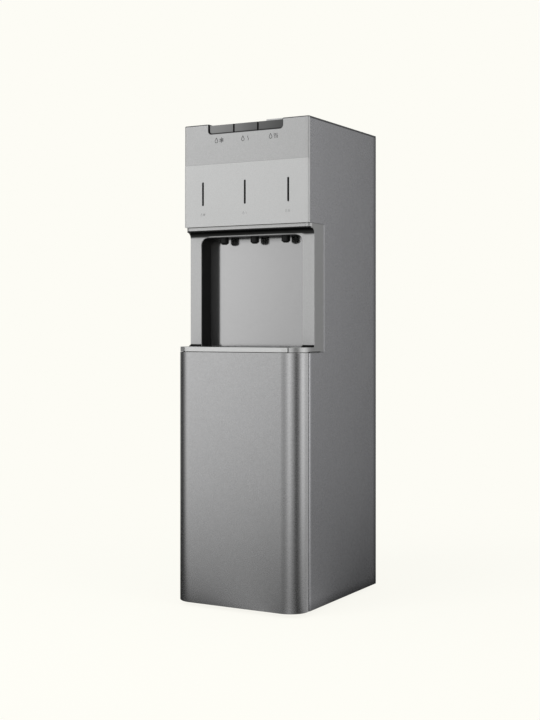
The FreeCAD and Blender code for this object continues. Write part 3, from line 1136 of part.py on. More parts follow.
def build_condenser():
    depth = condenser_depth()
    y = at(depth)
    bottom = condenser_bottom()
    bend = CONDENSER_PITCH / 2
    edges = []
    side = -1
    for run in range(CONDENSER_RUNS):
        z = bottom + run * CONDENSER_PITCH
        start = Vector(side * CONDENSER_HALF, y, z)
        end = Vector(-side * CONDENSER_HALF, y, z)
        edges.append(Part.LineSegment(start, end).toShape())
        side = -side
        if run < CONDENSER_RUNS - 1:
            for turn in range(2):
                a0 = -math.pi / 2 + turn * math.pi / 2
                stops = []
                for part in range(3):
                    angle = a0 + part * math.pi / 4
                    stops.append(Vector(side * (CONDENSER_HALF + bend * math.cos(angle)), y,
                                        z + bend + bend * math.sin(angle)))
                edges.append(Part.Arc(*stops).toShape())
    ends = []
    last_z = bottom + (CONDENSER_RUNS - 1) * CONDENSER_PITCH
    for x, z in condenser_ends():
        start = Vector(-CONDENSER_HALF, y, z)
        centre_y = y - CONDENSER_CORNER
        diagonal = CONDENSER_CORNER * math.sin(math.pi / 4)
        middle = Vector(-CONDENSER_HALF - diagonal, centre_y + diagonal, z)
        turned = Vector(x, centre_y, z)
        forward = Vector(x, at(BACK_PANEL_DEPTH - BACK_PANEL - 14.0), z)
        bend_arc = Part.Arc(start, middle, turned).toShape()
        ends.append([bend_arc, Part.LineSegment(turned, forward).toShape()])
    edges = ends[0] + edges + ends[1]
    length = sum(edge.Length for edge in edges)
    serpentine = sweep(edges, CONDENSER_TUBE_RADIUS)
    print("condenser length", round(length, 1), "volume ratio",
          round(serpentine.Volume / (math.pi * CONDENSER_TUBE_RADIUS ** 2 * length), 4))
    shapes["condenser_tube"] = serpentine

    wires = []
    reach = CONDENSER_TUBE_RADIUS + CONDENSER_WIRE_RADIUS + 0.05
    spacing = 2 * (CONDENSER_HALF - 8.0) / (CONDENSER_WIRES - 1)
    for offset in (-reach, reach):
        for i in range(CONDENSER_WIRES):
            x = -CONDENSER_HALF + 8.0 + i * spacing
            wires.append(rod(CONDENSER_WIRE_RADIUS, last_z - bottom + 24.0,
                             x, depth + offset, bottom - 12.0, UP))
    shapes["condenser_wires"] = group(wires)
    clips = []
    for z in (bottom + CONDENSER_PITCH * 1.5, last_z - CONDENSER_PITCH * 1.5):
        for sign in (-1, 1):
            edges_x = sorted((sign * (CONDENSER_HALF - 3.0), sign * (CONDENSER_HALF + 6.0)))
            bar = box(edges_x[0], edges_x[1], BACK_PANEL_DEPTH, depth - CONDENSER_TUBE_RADIUS - 0.1,
                      z - CONDENSER_PITCH * 0.7, z + CONDENSER_PITCH * 0.7)
            clips.append(bar)
    shapes["back_panel_upper"] = fuse(shapes["back_panel_upper"], *clips)


# Rear services

def rocker_places():
    first = -(HALF - 60.0)
    return {"hot": first, "cold": first + ROCKER_SPACING, "light": first + 2 * ROCKER_SPACING}


def build_services():
    face = BACK_PANEL_DEPTH
    housings = []
    width, height = ROCKER_HOLE
    pivot_depth = face - 1.0
    for name, x in rocker_places().items():
        body = centred_block((width - 0.4, height - 0.4), x, SERVICE_Z, face - 16.0, face)
        bezel = centred_block((width + 3.0, height + 3.0), x, SERVICE_Z, face, face + 2.0)
        bezel = round_edges(bezel, 0.8, lambda e: e.CenterOfMass.y > at(face) + 1.9)
        pocket = centred_block((width - 2.6, height - 2.6), x, SERVICE_Z, face - 12.0, face + 3.0)
        housing = fuse(body, bezel).cut(pocket)
        half_w, half_h = width / 2 - 1.6, height / 2 - 1.6
        pins = []
        for sign in (-1, 1):
            z0, z1 = sorted((sign * (half_h - 1.0), sign * (half_h + 0.5)))
            pins.append(rod(1.5, z1 - z0, x, pivot_depth, SERVICE_Z + z0, UP))
        rocker = rod(half_w + 3.0, 2 * half_h, x, pivot_depth - 1.0, SERVICE_Z - half_h, UP)
        rocker = rocker.common(box(x - half_w + 0.6, x + half_w - 0.6, face - 4.5, face + 4.6,
                                   SERVICE_Z - half_h, SERVICE_Z + half_h))
        dip = rod(30.0, 2 * half_h + 2, x, face + 32.6, SERVICE_Z - half_h - 1, UP)
        rocker = rocker.cut(dip)
        rocker = rocker.cut(rod(1.5 + ROD_CLEARANCE, 2 * half_h + 2, x, pivot_depth,
                                SERVICE_Z - half_h - 1, UP))
        rocker.rotate(Vector(x, at(pivot_depth), SERVICE_Z), UP, ROCKER_TILT)
        shapes["rocker_" + name] = rocker
        axle = rod(1.5, 2 * half_h + 0.6, x, pivot_depth, SERVICE_Z - half_h - 0.3, UP)
        housings.append(fuse(housing, axle))
    shapes["rocker_housings"] = group(housings)

    width, height = INLET_HOLE
    inlet = centred_block((width - 0.4, height - 0.4), INLET_X, SERVICE_Z, face - 22.0, face)
    flange = centred_block((width + 22.0, height + 5.0), INLET_X, SERVICE_Z, face, face + 2.5)
    flange = round_edges(flange, 3.0, lambda e: abs(e.tangentAt(e.FirstParameter).y) > 0.9)
    socket_half, socket_tall = width / 2 - 2.0, height / 2 - 2.0
    socket = from_front([(INLET_X - socket_half, SERVICE_Z - socket_tall, 1.0),
                         (INLET_X + socket_half, SERVICE_Z - socket_tall, 1.0),
                         (INLET_X + socket_half, SERVICE_Z + socket_tall - 5.0, 0),
                         (INLET_X + socket_half - 5.0, SERVICE_Z + socket_tall, 0),
                         (INLET_X - socket_half + 5.0, SERVICE_Z + socket_tall, 0),
                         (INLET_X - socket_half, SERVICE_Z + socket_tall - 5.0, 0)], face - 17.0, face + 4.0)
    inlet = fuse(inlet, flange).cut(socket)
    blades = []
    for dx, dz in ((-7.0, -2.0), (0.0, 2.0), (7.0, -2.0)):
        blades.append(centred_block((2.0, 4.0), INLET_X + dx, SERVICE_Z + dz, face - 17.0, face - 3.0))
    screws = []
    for sign in (-1, 1):
        x = INLET_X + sign * (width / 2 + 6.0)
        inlet = inlet.cut(rod(1.6, 5.0, x, face - 1.0, SERVICE_Z, BACK))
        screws.append(fuse(rod(1.5, 2.6, x, face, SERVICE_Z, BACK),
                           rod(2.8, 1.6, x, face + 2.5, SERVICE_Z, BACK)))
    shapes["power_inlet"] = group([inlet, *blades])
    fasteners.extend(screws)

    spout = rod(DRAIN_RADIUS, 26.0, DRAIN_X, face - 16.0, SERVICE_Z, BACK)
    nut = rod(DRAIN_RADIUS + 5.0, 4.0, DRAIN_X, face - 5.4, SERVICE_Z, BACK)
    collar = rod(DRAIN_RADIUS + 4.0, 2.0, DRAIN_X, face, SERVICE_Z, BACK)
    drain = fuse(spout, nut, collar).cut(rod(4.0, 30.0, DRAIN_X, face - 17.0, SERVICE_Z, BACK))
    shapes["drain_outlet"] = drain
    cap_wall = 2.0
    cap_start = face + 2.6
    cap_end = face + 12.4
    cap = rod(DRAIN_RADIUS + FIT_GAP + cap_wall, cap_end - cap_start, DRAIN_X, cap_start, SERVICE_Z, BACK)
    cap = round_edges(cap, 1.5, lambda e: e.CenterOfMass.y > at(cap_end) - 0.01)
    cap = cap.cut(rod(DRAIN_RADIUS + FIT_GAP, 10.3 - 2.6, DRAIN_X, cap_start, SERVICE_Z, BACK))
    grip = box(DRAIN_X - 1.5, DRAIN_X + 1.5, cap_end - 1.0, cap_end + 4.0,
               SERVICE_Z - 7.0, SERVICE_Z + 7.0)
    shapes["drain_cap"] = fuse(cap, grip)


def main():
    os.makedirs("parts", exist_ok=True)
    build_cabinet()
    build_bay()
    build_door()
    build_moulding()
    build_spouts()
    build_drip_tray()
    build_fascia()
    build_keys()
    build_tanks()
    build_machine()
    build_condenser()
    build_services()
    shapes["screws_and_bolts"] = group(fasteners)
    for name, shape in shapes.items():
        if not shape.isValid():
            print("not valid:", name)
        shape.exportStep("parts/" + name + ".step")
    box_all = Part.makeCompound(list(shapes.values())).BoundBox
    print(len(shapes), "nodes, loose bounding box", box_all)


main()
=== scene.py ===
import json
import math

import bmesh
import bpy
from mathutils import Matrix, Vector


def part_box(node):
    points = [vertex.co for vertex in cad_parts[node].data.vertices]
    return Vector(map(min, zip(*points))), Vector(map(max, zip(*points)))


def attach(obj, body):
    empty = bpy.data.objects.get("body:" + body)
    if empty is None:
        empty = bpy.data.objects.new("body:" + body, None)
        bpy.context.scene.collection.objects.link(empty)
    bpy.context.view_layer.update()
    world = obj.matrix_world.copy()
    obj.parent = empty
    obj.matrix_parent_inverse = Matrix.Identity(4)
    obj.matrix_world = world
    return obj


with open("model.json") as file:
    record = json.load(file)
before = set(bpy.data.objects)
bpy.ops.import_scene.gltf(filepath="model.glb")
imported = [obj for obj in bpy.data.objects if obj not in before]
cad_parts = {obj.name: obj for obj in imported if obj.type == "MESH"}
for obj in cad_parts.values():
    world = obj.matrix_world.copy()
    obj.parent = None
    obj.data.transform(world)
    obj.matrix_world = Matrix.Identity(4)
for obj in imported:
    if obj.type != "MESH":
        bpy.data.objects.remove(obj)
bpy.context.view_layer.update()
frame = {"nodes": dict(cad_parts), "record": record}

nodes = frame["nodes"]

# Lengths are in metres and azimuths in degrees: 0 is straight in front of the door, 90 is on the viewer's right.
CREAM = (0.982, 0.973, 0.913)
FASCIA_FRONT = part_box("control_fascia")[0].y
PLATE_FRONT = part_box("indicator_plate")[0].y
HALF_WIDTH = 0.155
LIP_TOP = 0.8212
LIP_BOTTOM = 0.8115
COVE_BOTTOM = 0.8022
RECESS_TOP = 0.7992
SHELF_TOP = 0.5602
SHELF_BOTTOM = 0.5502
SHELF_CORNER_BACK = -0.150
ARCH_HALF = 0.112
NOTCH_HALF = 0.093
NOTCH_BOTTOM = 1.0225
NOTCH_CORNER = 0.008
WRAP_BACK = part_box("dispenser_frame")[1].y
PANEL_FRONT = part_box("side_panel_right")[0].y
PANEL_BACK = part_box("side_panel_right")[1].y
BOOTH_RADIUS = 2.4
BOOTH_HEIGHT = 4.5
BOOTH_PEAK = 1.5
BOOTH_MIDDLE = (0.113, -0.15)


class Value:
    """A socket that takes part in sums. Numbers use a Math node, colours and vectors a Vector Math node."""

    def __init__(self, maker, socket):
        self.maker = maker
        self.socket = socket

    def combine(self, operation, first, second):
        operands = [v for v in (first, second) if isinstance(v, Value)]
        if any(v.socket.type in ("VECTOR", "RGBA") for v in operands):
            pair = [v if isinstance(v, Value) or isinstance(v, tuple) else (v, v, v) for v in (first, second)]
            return self.maker.node("ShaderNodeVectorMath", {"operation": operation}, {0: pair[0], 1: pair[1]})
        return self.maker.node("ShaderNodeMath", {"operation": operation}, {0: first, 1: second})

    def __add__(self, other):
        return self.combine("ADD", self, other)

    def __radd__(self, other):
        return self.combine("ADD", other, self)

    def __sub__(self, other):
        return self.combine("SUBTRACT", self, other)

    def __rsub__(self, other):
        return self.combine("SUBTRACT", other, self)

    def __mul__(self, other):
        return self.combine("MULTIPLY", self, other)

    def __rmul__(self, other):
        return self.combine("MULTIPLY", other, self)

    def __truediv__(self, other):
        return self.combine("DIVIDE", self, other)


class Maker:
    """Builds one node tree."""

    def __init__(self, tree):
        self.tree = tree
        self.tree.nodes.clear()

    def node(self, kind, settings=None, sockets=None, output=0):
        """Adds a node. Its settings go in first, then the numbers or links of its sockets."""
        made = self.tree.nodes.new(kind)
        for name, setting in (settings or {}).items():
            if name == "stops":
                self.set_stops(made.color_ramp, setting)
            else:
                setattr(made, name, setting)
        for name, wanted in (sockets or {}).items():
            if isinstance(wanted, Value):
                self.tree.links.new(wanted.socket, made.inputs[name])
            else:
                made.inputs[name].default_value = wanted
        return Value(self, made.outputs[output]) if len(made.outputs) else made

    def set_stops(self, ramp, stops):
        """Stops are (position, grey) or (position, colour)."""
        while len(ramp.elements) < len(stops):
            ramp.elements.new(0.5)
        for element, (position, shade) in zip(ramp.elements, stops):
            element.position = position
            element.color = (shade, shade, shade, 1) if isinstance(shade, (int, float)) else (*shade, 1)

    def ramp(self, value, stops, ease="LINEAR"):
        made = self.node("ShaderNodeValToRGB", {"stops": stops}, {"Fac": value})
        made.socket.node.color_ramp.interpolation = ease
        return made

    def mix(self, factor, first, second, blend="MIX"):
        """Mixes two colours."""
        pair = {6: first, 7: second}
        pair = {k: (*v, 1) if isinstance(v, tuple) and len(v) == 3 else v for k, v in pair.items()}
        return self.node("ShaderNodeMix", {"data_type": "RGBA", "blend_type": blend}, {0: factor, **pair}, 2)

    def spread(self, value, low, high, to_low=0.0, to_high=1.0):
        """Maps low..high to to_low..to_high, eased and held at its ends."""
        return self.node("ShaderNodeMapRange", {"interpolation_type": "SMOOTHSTEP"},
                         {"Value": value, "From Min": low, "From Max": high, "To Min": to_low, "To Max": to_high})

    def fade(self, value, low, high):
        """1 up to low, 0 from high on."""
        return self.spread(value, low, high, 1.0, 0.0)

    def near(self, value, middle, inner, outer):
        """1 within inner of the middle, 0 beyond outer."""
        return self.fade(self.size(value - middle), inner, outer)

    def place(self):
        """The point's place in the object, in metres."""
        return self.node("ShaderNodeTexCoord", output=3)

    def axis(self, vector, index):
        return self.node("ShaderNodeSeparateXYZ", None, {0: vector}, index)

    def noise(self, scale, detail=2.0, stretch=(1, 1, 1)):
        where = self.place() * stretch
        return self.node("ShaderNodeTexNoise", None, {"Vector": where, "Scale": scale, "Detail": detail})

    def cells(self, scale, channel=None):
        """Cells of a random colour, or one channel of it. Without a channel, the distance to each cell's point."""
        output = 0 if channel is None else 1
        made = self.node("ShaderNodeTexVoronoi", None, {"Vector": self.place(), "Scale": scale}, output)
        return made if channel is None else self.axis(made, channel)

    def limit(self, operation, first, second):
        """The smaller or larger of two numbers, by MINIMUM or MAXIMUM."""
        return self.node("ShaderNodeMath", {"operation": operation}, {0: first, 1: second})

    def size(self, value):
        return self.node("ShaderNodeMath", {"operation": "ABSOLUTE"}, {0: value})

    def grey(self, value):
        return self.node("ShaderNodeCombineXYZ", None, {0: value, 1: value, 2: value})

    def bump(self, height, strength, distance):
        return self.node("ShaderNodeBump", None, {"Height": height, "Strength": strength, "Distance": distance})


def finish(name, colour, roughness, metallic=0.0, normal=None, **fixed):
    """A material from a function of its maker for each of colour, roughness and normal. The fixed numbers stay on
    the shader."""
    material = bpy.data.materials.new(name)
    material.use_nodes = True
    maker = Maker(material.node_tree)
    sockets = {"Base Color": colour(maker), "Roughness": roughness(maker), "Metallic": metallic}
    if normal:
        sockets["Normal"] = normal(maker)
    sockets.update({key.replace("_", " "): number for key, number in fixed.items()})
    shader = maker.node("ShaderNodeBsdfPrincipled", None, sockets)
    maker.node("ShaderNodeOutputMaterial", None, {"Surface": shader})
    return material


# Surface detail that several finishes share

def tinted(colour, grain, cloud):
    """A colour with fine grain and broad, faint clouds."""
    def build(maker):
        fine = maker.noise(900.0, 3.0)
        broad = maker.noise(14.0, 2.0)
        shade = 1 + grain * (fine - 0.5) * 2 + cloud * (broad - 0.5) * 2
        return maker.mix(1.0, colour, maker.grey(shade), "MULTIPLY")
    return build


def uneven(middle, swing=0.04, scale=30.0, fine=0.0, stretch=(1, 1, 1)):
    """A roughness that wanders a little, as handled surfaces do."""
    def build(maker):
        value = middle + swing * (maker.noise(scale, 3.0, stretch) - 0.5) * 2
        if fine:
            value = value + fine * (maker.noise(1100.0, 1.0) - 0.5) * 2
        return value
    return build


def grained(strength, scale, distance=0.0004, stretch=(1, 1, 1), detail=2.0):
    def build(maker):
        return maker.bump(maker.noise(scale, detail, stretch), strength, distance)
    return build


def silver_coat(name, grey, metallic, roughness, tint, mottle, shading=None):
    """Satin silver lacquer: a fine metallic grain and a trace of orange peel, shaded by a function where given."""
    def colour(maker):
        sparkle = maker.cells(1400.0, 0)
        shade = 1 + 0.12 * (sparkle - 0.5) + mottle * (maker.noise(340.0, 3.0) - 0.5)
        shade = shade + 0.05 * (maker.noise(9.0) - 0.5)
        if shading:
            shade = shade * shading(maker)
        return maker.mix(1.0, (grey, grey, grey * tint), maker.grey(shade), "MULTIPLY")

    def normal(maker):
        peel = maker.noise(260.0, 2.0)
        grit = maker.noise(1500.0, 2.0)
        return maker.bump(peel * 0.5 + grit * 0.5, 0.12, 0.0003)

    return finish(name, colour, uneven(roughness, 0.03, 12.0, 0.04), metallic, normal)


def on_side(maker, aside):
    """0 on the front, 1 on the outer side faces."""
    return maker.spread(aside, HALF_WIDTH - 0.0009, HALF_WIDTH - 0.0001)


def door_shading(maker):
    """The door's narrow sides get a painted highlight that makes them paler than its front, and its left corner has
    a painted dark reflection band.
    """
    across = maker.axis(maker.place(), 0)
    band = maker.near(across, 0.0075 - HALF_WIDTH, 0.0030, 0.0070)
    return (1 + 0.25 * on_side(maker, maker.size(across))) * (1 - 0.6 * band)


def seam_highlight(maker, place):
    """A painted highlight: the pale line where the moulding's back edge meets the panel beside it."""
    line = maker.near(maker.axis(place, 1), WRAP_BACK + 0.0030, 0.0018, 0.0046)
    half = (LIP_TOP - SHELF_BOTTOM) / 2
    beside = maker.near(maker.axis(place, 2), SHELF_BOTTOM + half, half - 0.0015, half)
    return 1 + 0.5 * line * beside


def before_wrap_end(maker, deep):
    """1 under the moulding's side, 0 where its lower corner is rounded away."""
    return maker.fade(deep, WRAP_BACK - 0.015, WRAP_BACK - 0.012)


def panel_shading(maker):
    """Painted shade near the floor and at the back edge, a painted highlight by the door, a painted shadow under the
    moulding.
    """
    place = maker.place()
    deep, high = maker.axis(place, 1), maker.axis(place, 2)
    floor_shade = maker.spread(high, 0.004, 0.034, 0.45, 1.0)
    back_edge_shade = maker.spread(deep, PANEL_BACK - 0.022, PANEL_BACK - 0.003, 1.0, 0.45)
    front = maker.fade(deep, PANEL_FRONT + 0.0065, PANEL_FRONT + 0.0120)
    edge = 1 + 0.42 * front * maker.fade(high, SHELF_BOTTOM - 0.001, SHELF_BOTTOM)
    under = maker.near(high, SHELF_BOTTOM - 0.0010, 0.0006, 0.0014)
    line = 1 - 0.93 * under * before_wrap_end(maker, deep)
    return floor_shade * back_edge_shade * edge * line * seam_highlight(maker, place)


def shelf_side(maker, aside, deep):
    """Painted highlight where the shelf's round corners face the light, a painted dark band before it and painted
    shade behind.
    """
    bright = maker.spread(aside, 0.1440, 0.1500, 1.0, 1.22)
    fall = maker.spread(deep, SHELF_CORNER_BACK - 0.007, SHELF_CORNER_BACK + 0.019, 1.0, 0.56)
    return bright * fall * (1 - 0.2 * maker.near(aside, 0.1415, 0.0015, 0.0055))


def frame_shading(maker):
    """Painted shade in the cove to its ends, under the rail, at the shelf's foot and on the moulding's sides to
    match the panels.
    """
    place = maker.place()
    across, deep, high = [maker.axis(place, i) for i in range(3)]
    aside = maker.size(across)
    upper = 1 - 0.32 * on_side(maker, aside)
    on_shelf = maker.fade(high, SHELF_TOP - 0.0012, SHELF_TOP - 0.0002)
    side = upper + on_shelf * (shelf_side(maker, aside, deep) - upper)

    below_lip = maker.fade(high, LIP_BOTTOM + 0.0022, LIP_BOTTOM + 0.0031)
    soft = maker.spread(maker.size(across - 0.010), ARCH_HALF, 0.124)
    lowered = high + 0.0007 * soft + maker.spread(across, 0.06, 0.11, 0.0, 0.0007)
    lowered = lowered + maker.spread(across, 0.124, 0.136, 0.0, 0.0007)
    above_rail = maker.spread(lowered, COVE_BOTTOM - 0.0010 - 0.0028 * soft, COVE_BOTTOM + 0.0010 + 0.0006 * soft)
    inside = maker.fade(aside, HALF_WIDTH - 0.0010, HALF_WIDTH - 0.0004)
    cove = 1 - 0.97 * below_lip * above_rail * inside

    under_rail = maker.fade(high, RECESS_TOP + 0.0006, RECESS_TOP + 0.0022)
    over_jamb = maker.spread(high, RECESS_TOP - 0.0008, RECESS_TOP - 0.0002)
    in_arch = maker.fade(aside, ARCH_HALF - 0.004, ARCH_HALF + 0.004)
    rail = 1 - 0.85 * under_rail * over_jamb * in_arch

    foot = maker.fade(high, SHELF_BOTTOM + 0.0008, SHELF_BOTTOM + 0.0018)
    behind = maker.spread(deep, SHELF_CORNER_BACK, SHELF_CORNER_BACK + 0.004) * before_wrap_end(maker, deep)
    line = 1 - 0.9 * foot * behind * maker.spread(aside, HALF_WIDTH - 0.0016, HALF_WIDTH - 0.0003)
    return side * cove * rail * line * seam_highlight(maker, place)


def lining_shading(maker):
    """The steel lining is shadowed under the top of the recess."""
    return maker.spread(maker.axis(maker.place(), 2), RECESS_TOP - 0.015, RECESS_TOP + 0.003, 1.0, 0.5)


def from_notch_corner(maker):
    """Distance from the centre of the notch's nearest rounded corner, or from the level it is at."""
    place = maker.place()
    past_side = maker.limit("MAXIMUM", maker.size(maker.axis(place, 0)) - (NOTCH_HALF - NOTCH_CORNER), 0.0)
    past_bottom = maker.limit("MAXIMUM", NOTCH_BOTTOM + NOTCH_CORNER - maker.axis(place, 2), 0.0)
    reach = maker.node("ShaderNodeCombineXYZ", None, {0: past_side, 1: past_bottom})
    return maker.node("ShaderNodeVectorMath", {"operation": "LENGTH"}, {0: reach}, 1)


def notch_shading(maker):
    """Painted shade: the rim of the notch, and its edges behind the front face, are dark."""
    away = from_notch_corner(maker)
    behind = maker.spread(maker.axis(maker.place(), 1), FASCIA_FRONT + 0.0003, FASCIA_FRONT + 0.0008)
    near = maker.fade(away, NOTCH_CORNER + 0.0008, NOTCH_CORNER + 0.0014)
    rim = maker.spread(away, NOTCH_CORNER + 0.0003, NOTCH_CORNER + 0.0010, 0.25, 1.0)
    return rim * (1 - 0.95 * behind * near)


def moulded(name, colour, roughness, grit=0.25, gloss=0.5):
    """Moulded plastic with a fine spark-eroded texture."""
    return finish(name, tinted(colour, 0.06, 0.05), uneven(roughness, 0.05, 25.0, 0.03), 0.0,
                  grained(grit, 1300.0, 0.0003, detail=3.0), Specular_IOR_Level=gloss)


def glossy(name, colour, roughness, coat):
    """Polished plastic with wiped smears."""
    return finish(name, tinted(colour, 0.04, 0.06), uneven(roughness, 0.06, 18.0, stretch=(1, 1, 0.3)), 0.0,
                  grained(0.03, 220.0), Coat_Weight=coat, Coat_Roughness=0.08)


def brushed(name, colour, roughness, stretch, strength=0.12, metallic=1.0, shading=None):
    """Steel with a fine directional grain."""
    def shade(maker):
        lines = maker.noise(60.0, 5.0, stretch)
        broad = maker.noise(7.0, 2.0)
        value = 1 + 0.14 * (lines - 0.5) + 0.06 * (broad - 0.5)
        if shading:
            value = value * shading(maker)
        return maker.mix(1.0, colour, maker.grey(value), "MULTIPLY")
    return finish(name, shade, uneven(roughness, roughness / 6, 60.0, stretch=stretch), metallic,
                  grained(strength, 60.0, 0.0002, stretch, 5.0))


def key_finish(name, left, right, node):
    """A key's plastic, painted as a reflection gradient from a grey at its left end to one at its right, with
    painted shade in the gaps round it.
    """
    low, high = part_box(node)

    def colour(maker):
        across = maker.axis(maker.place(), 0)
        blend = maker.spread(across, low.x, high.x)
        grain = 1 + 0.1 * (maker.noise(900.0, 3.0) - 0.5)
        edge = maker.spread(from_notch_corner(maker), 0.0046, 0.0060, 1.0, 0.1)
        gap = maker.spread(across, high.x - 0.0010, high.x - 0.0005, 1.0, 0.05)
        start = maker.spread(across, low.x + 0.0005, low.x + 0.0010, 0.05, 1.0)
        shade = (left + (right - left) * blend) * grain * edge * gap * start
        return maker.grey(shade)
    return finish(name, colour, uneven(0.42, 0.05, 25.0, 0.03), 0.0, grained(0.2, 1300.0, detail=3.0),
                  Specular_IOR_Level=0.3)


def cove_shade_finish(name):
    """A near-black skin for the light bar that stands in for the cove's shade, with painted shade darkest under the
    lip.
    """
    def colour(maker):
        painted_cove_shade = maker.spread(maker.axis(maker.place(), 2), COVE_BOTTOM, LIP_BOTTOM - 0.001, 0.04, 0.0012)
        return maker.grey(painted_cove_shade * (1 + 0.3 * (maker.noise(700.0, 3.0) - 0.5)))
    return finish(name, colour, uneven(0.5, 0.06, 40.0), 0.0, grained(0.1, 500.0), Specular_IOR_Level=0.08)


def galvanised(name, colour, roughness):
    """Zinc sheet with its patchwork of crystals."""
    def shade(maker):
        patch = maker.cells(90.0, 0)
        value = 1 + 0.22 * (patch - 0.5) + 0.1 * (maker.noise(400.0) - 0.5)
        return maker.mix(1.0, colour, maker.grey(value), "MULTIPLY")

    def dull(maker):
        patch = maker.cells(90.0, 1)
        return roughness + 0.14 * (patch - 0.5)
    return finish(name, shade, dull, 0.4, grained(0.1, 700.0))


def rubber(name, grey):
    """Rubber with a dusty bloom."""
    def colour(maker):
        dust = maker.spread(maker.noise(80.0, 4.0), 0.45, 0.8)
        return maker.mix(dust * 0.35, (grey, grey, grey), (grey + 0.05, grey + 0.048, grey + 0.044))
    return finish(name, colour, uneven(0.8, 0.06, 60.0), 0.0, grained(0.3, 900.0))


def foam(name, colour):
    """Cut rigid foam with open cells and a yellowed skin."""
    def shade(maker):
        pits = maker.spread(maker.cells(650.0), 0.0, 0.55)
        aged = maker.spread(maker.noise(10.0, 3.0), 0.4, 0.7)
        warm = maker.mix(aged * 0.5, colour, (colour[0] * 0.93, colour[1] * 0.84, colour[2] * 0.62))
        return maker.mix((1 - pits) * 0.4, warm, (0.42, 0.38, 0.28))
    return finish(name, shade, uneven(0.85, 0.05), 0.0,
                  lambda maker: maker.bump(maker.cells(650.0), 0.5, 0.0006))


def copper(name):
    """Bare tube with patches of tarnish."""
    def shade(maker):
        tarnish = maker.spread(maker.noise(55.0, 4.0), 0.42, 0.7)
        return maker.mix(tarnish, (0.80, 0.42, 0.26), (0.33, 0.16, 0.10))

    def dull(maker):
        return 0.24 + 0.3 * maker.spread(maker.noise(55.0, 4.0), 0.42, 0.7)
    return finish(name, shade, dull, 1.0, grained(0.05, 500.0))


def board(name):
    """Green solder mask over a maze of tracks."""
    def shade(maker):
        place = maker.place() * (260.0, 260.0, 260.0)
        tracks = maker.node("ShaderNodeTexBrick", None,
                            {"Vector": place, "Color1": (1, 1, 1, 1), "Color2": (0.6, 0.6, 0.6, 1),
                             "Mortar": (0, 0, 0, 1), "Scale": 1.0, "Mortar Size": 0.06})
        return maker.mix(0.35, (0.016, 0.13, 0.05), maker.mix(1.0, tracks, (0.05, 0.38, 0.14), "MULTIPLY"))
    return finish(name, shade, uneven(0.3, 0.08, 200.0), 0.0, grained(0.1, 500.0), Coat_Weight=0.4)


FINISHES = {
    "silver_panel": silver_coat("silver_panel_coat", 0.36, 0.85, 0.27, 1.035, 0.50, panel_shading),
    "silver_door": silver_coat("silver_door_coat", 0.45, 0.93, 0.27, 1.006, 0.36, door_shading),
    "silver_plastic": silver_coat("silver_moulding_lacquer", 0.455, 0.6, 0.36, 1.0, 0.2, notch_shading),
    "silver_plate": silver_coat("pale_plate_lacquer", 0.57, 0.35, 0.42, 1.0, 0.1),
    "brushed_lining": brushed("satin_steel_lining", (0.42, 0.42, 0.42), 0.12, (1, 1, 12), 0.03, 0.9, lining_shading),
    "black_plastic": moulded("black_moulding", (0.012, 0.012, 0.012), 0.42, 0.15, 0.2),
    "lock_plastic": moulded("pale_lock_plastic", (0.55, 0.55, 0.55), 0.4),
    "charcoal_plastic": moulded("charcoal_lid_plastic", (0.05, 0.05, 0.054), 0.5, 0.35),
    "grey_plastic": moulded("grey_liner_plastic", (0.3, 0.3, 0.31), 0.45),
    "white_plastic": moulded("white_plastic", (0.78, 0.78, 0.755), 0.38, 0.12),
    "blue_plastic": moulded("blue_cap_plastic", (0.05, 0.16, 0.38), 0.32, 0.15),
    "foam_white": foam("rigid_foam", (0.80, 0.76, 0.62)),
    "green_board": board("circuit_board"),
    "grey_steel": galvanised("zinc_sheet", (0.50, 0.505, 0.51), 0.42),
    "dark_steel": moulded("dark_coated_sheet", (0.035, 0.035, 0.036), 0.5, 0.4),
    "tank_steel": brushed("tank_steel", (0.62, 0.615, 0.6), 0.28, (1, 1, 9)),
    "zinc_steel": brushed("zinc_plate", (0.6, 0.6, 0.57), 0.32, (2, 2, 2)),
    "copper_tube": copper("copper"),
    "black_paint": glossy("black_enamel", (0.012, 0.012, 0.012), 0.25, 0.5),
    "black_rubber": rubber("black_rubber", 0.02),
    "red_rocker": glossy("red_rocker_plastic", (0.42, 0.02, 0.015), 0.2, 0.3),
    "green_rocker": glossy("green_rocker_plastic", (0.02, 0.25, 0.06), 0.2, 0.3),
    "dark_rocker": glossy("dark_rocker_plastic", (0.02, 0.02, 0.02), 0.22, 0.3),
}

# Nodes whose finish differs from the rest of their slot
OWN_FINISHES = {
    "dispenser_frame": silver_coat("recess_moulding_lacquer", 0.485, 0.6, 0.36, 1.0, 0.2, frame_shading),
    "drip_tray": silver_coat("tray_lacquer", 0.67, 0.45, 0.38, 1.0, 0.2),
    "recess_liner": moulded("recess_lining_plastic", (0.006, 0.006, 0.006), 0.5, 0.15, 0.1),
    "key_carrier": moulded("key_well_plastic", (0.004, 0.004, 0.004), 0.6, 0.15, 0.1),
    "indicator_windows": moulded("slit_window_plastic", (0.0035, 0.0035, 0.0037), 0.35, 0.05, 0.15),
    # The light bar's near-black skin stands in for the shade in the cove.
    "light_bar": cove_shade_finish("cove_shade_skin"),
    # The seals are black, and near-black so that they also stand in for the shade at the jambs' foot.
    "shelf_seals": moulded("seal_and_shade_plastic", (0.003, 0.003, 0.003), 0.6, 0.1, 0.05),
    # The keys' greys darken across the row as a painted reflection gradient.
    "key_cold": key_finish("cold_key_plastic", 0.25, 0.205, "key_cold"),
    "key_room": key_finish("room_key_plastic", 0.19, 0.115, "key_room"),
    "key_hot": key_finish("hot_key_plastic", 0.115, 0.075, "key_hot"),
}

slots = {part["node"]: part["material_slot"] for part in frame["record"]["subparts"]}
for name, node in nodes.items():
    if not node.material_slots:
        node.data.materials.append(None)
    for slot in node.material_slots:
        slot.material = OWN_FINISHES.get(name) or FINISHES[slots[name]]


# Printed signs: thin flat pieces on the front

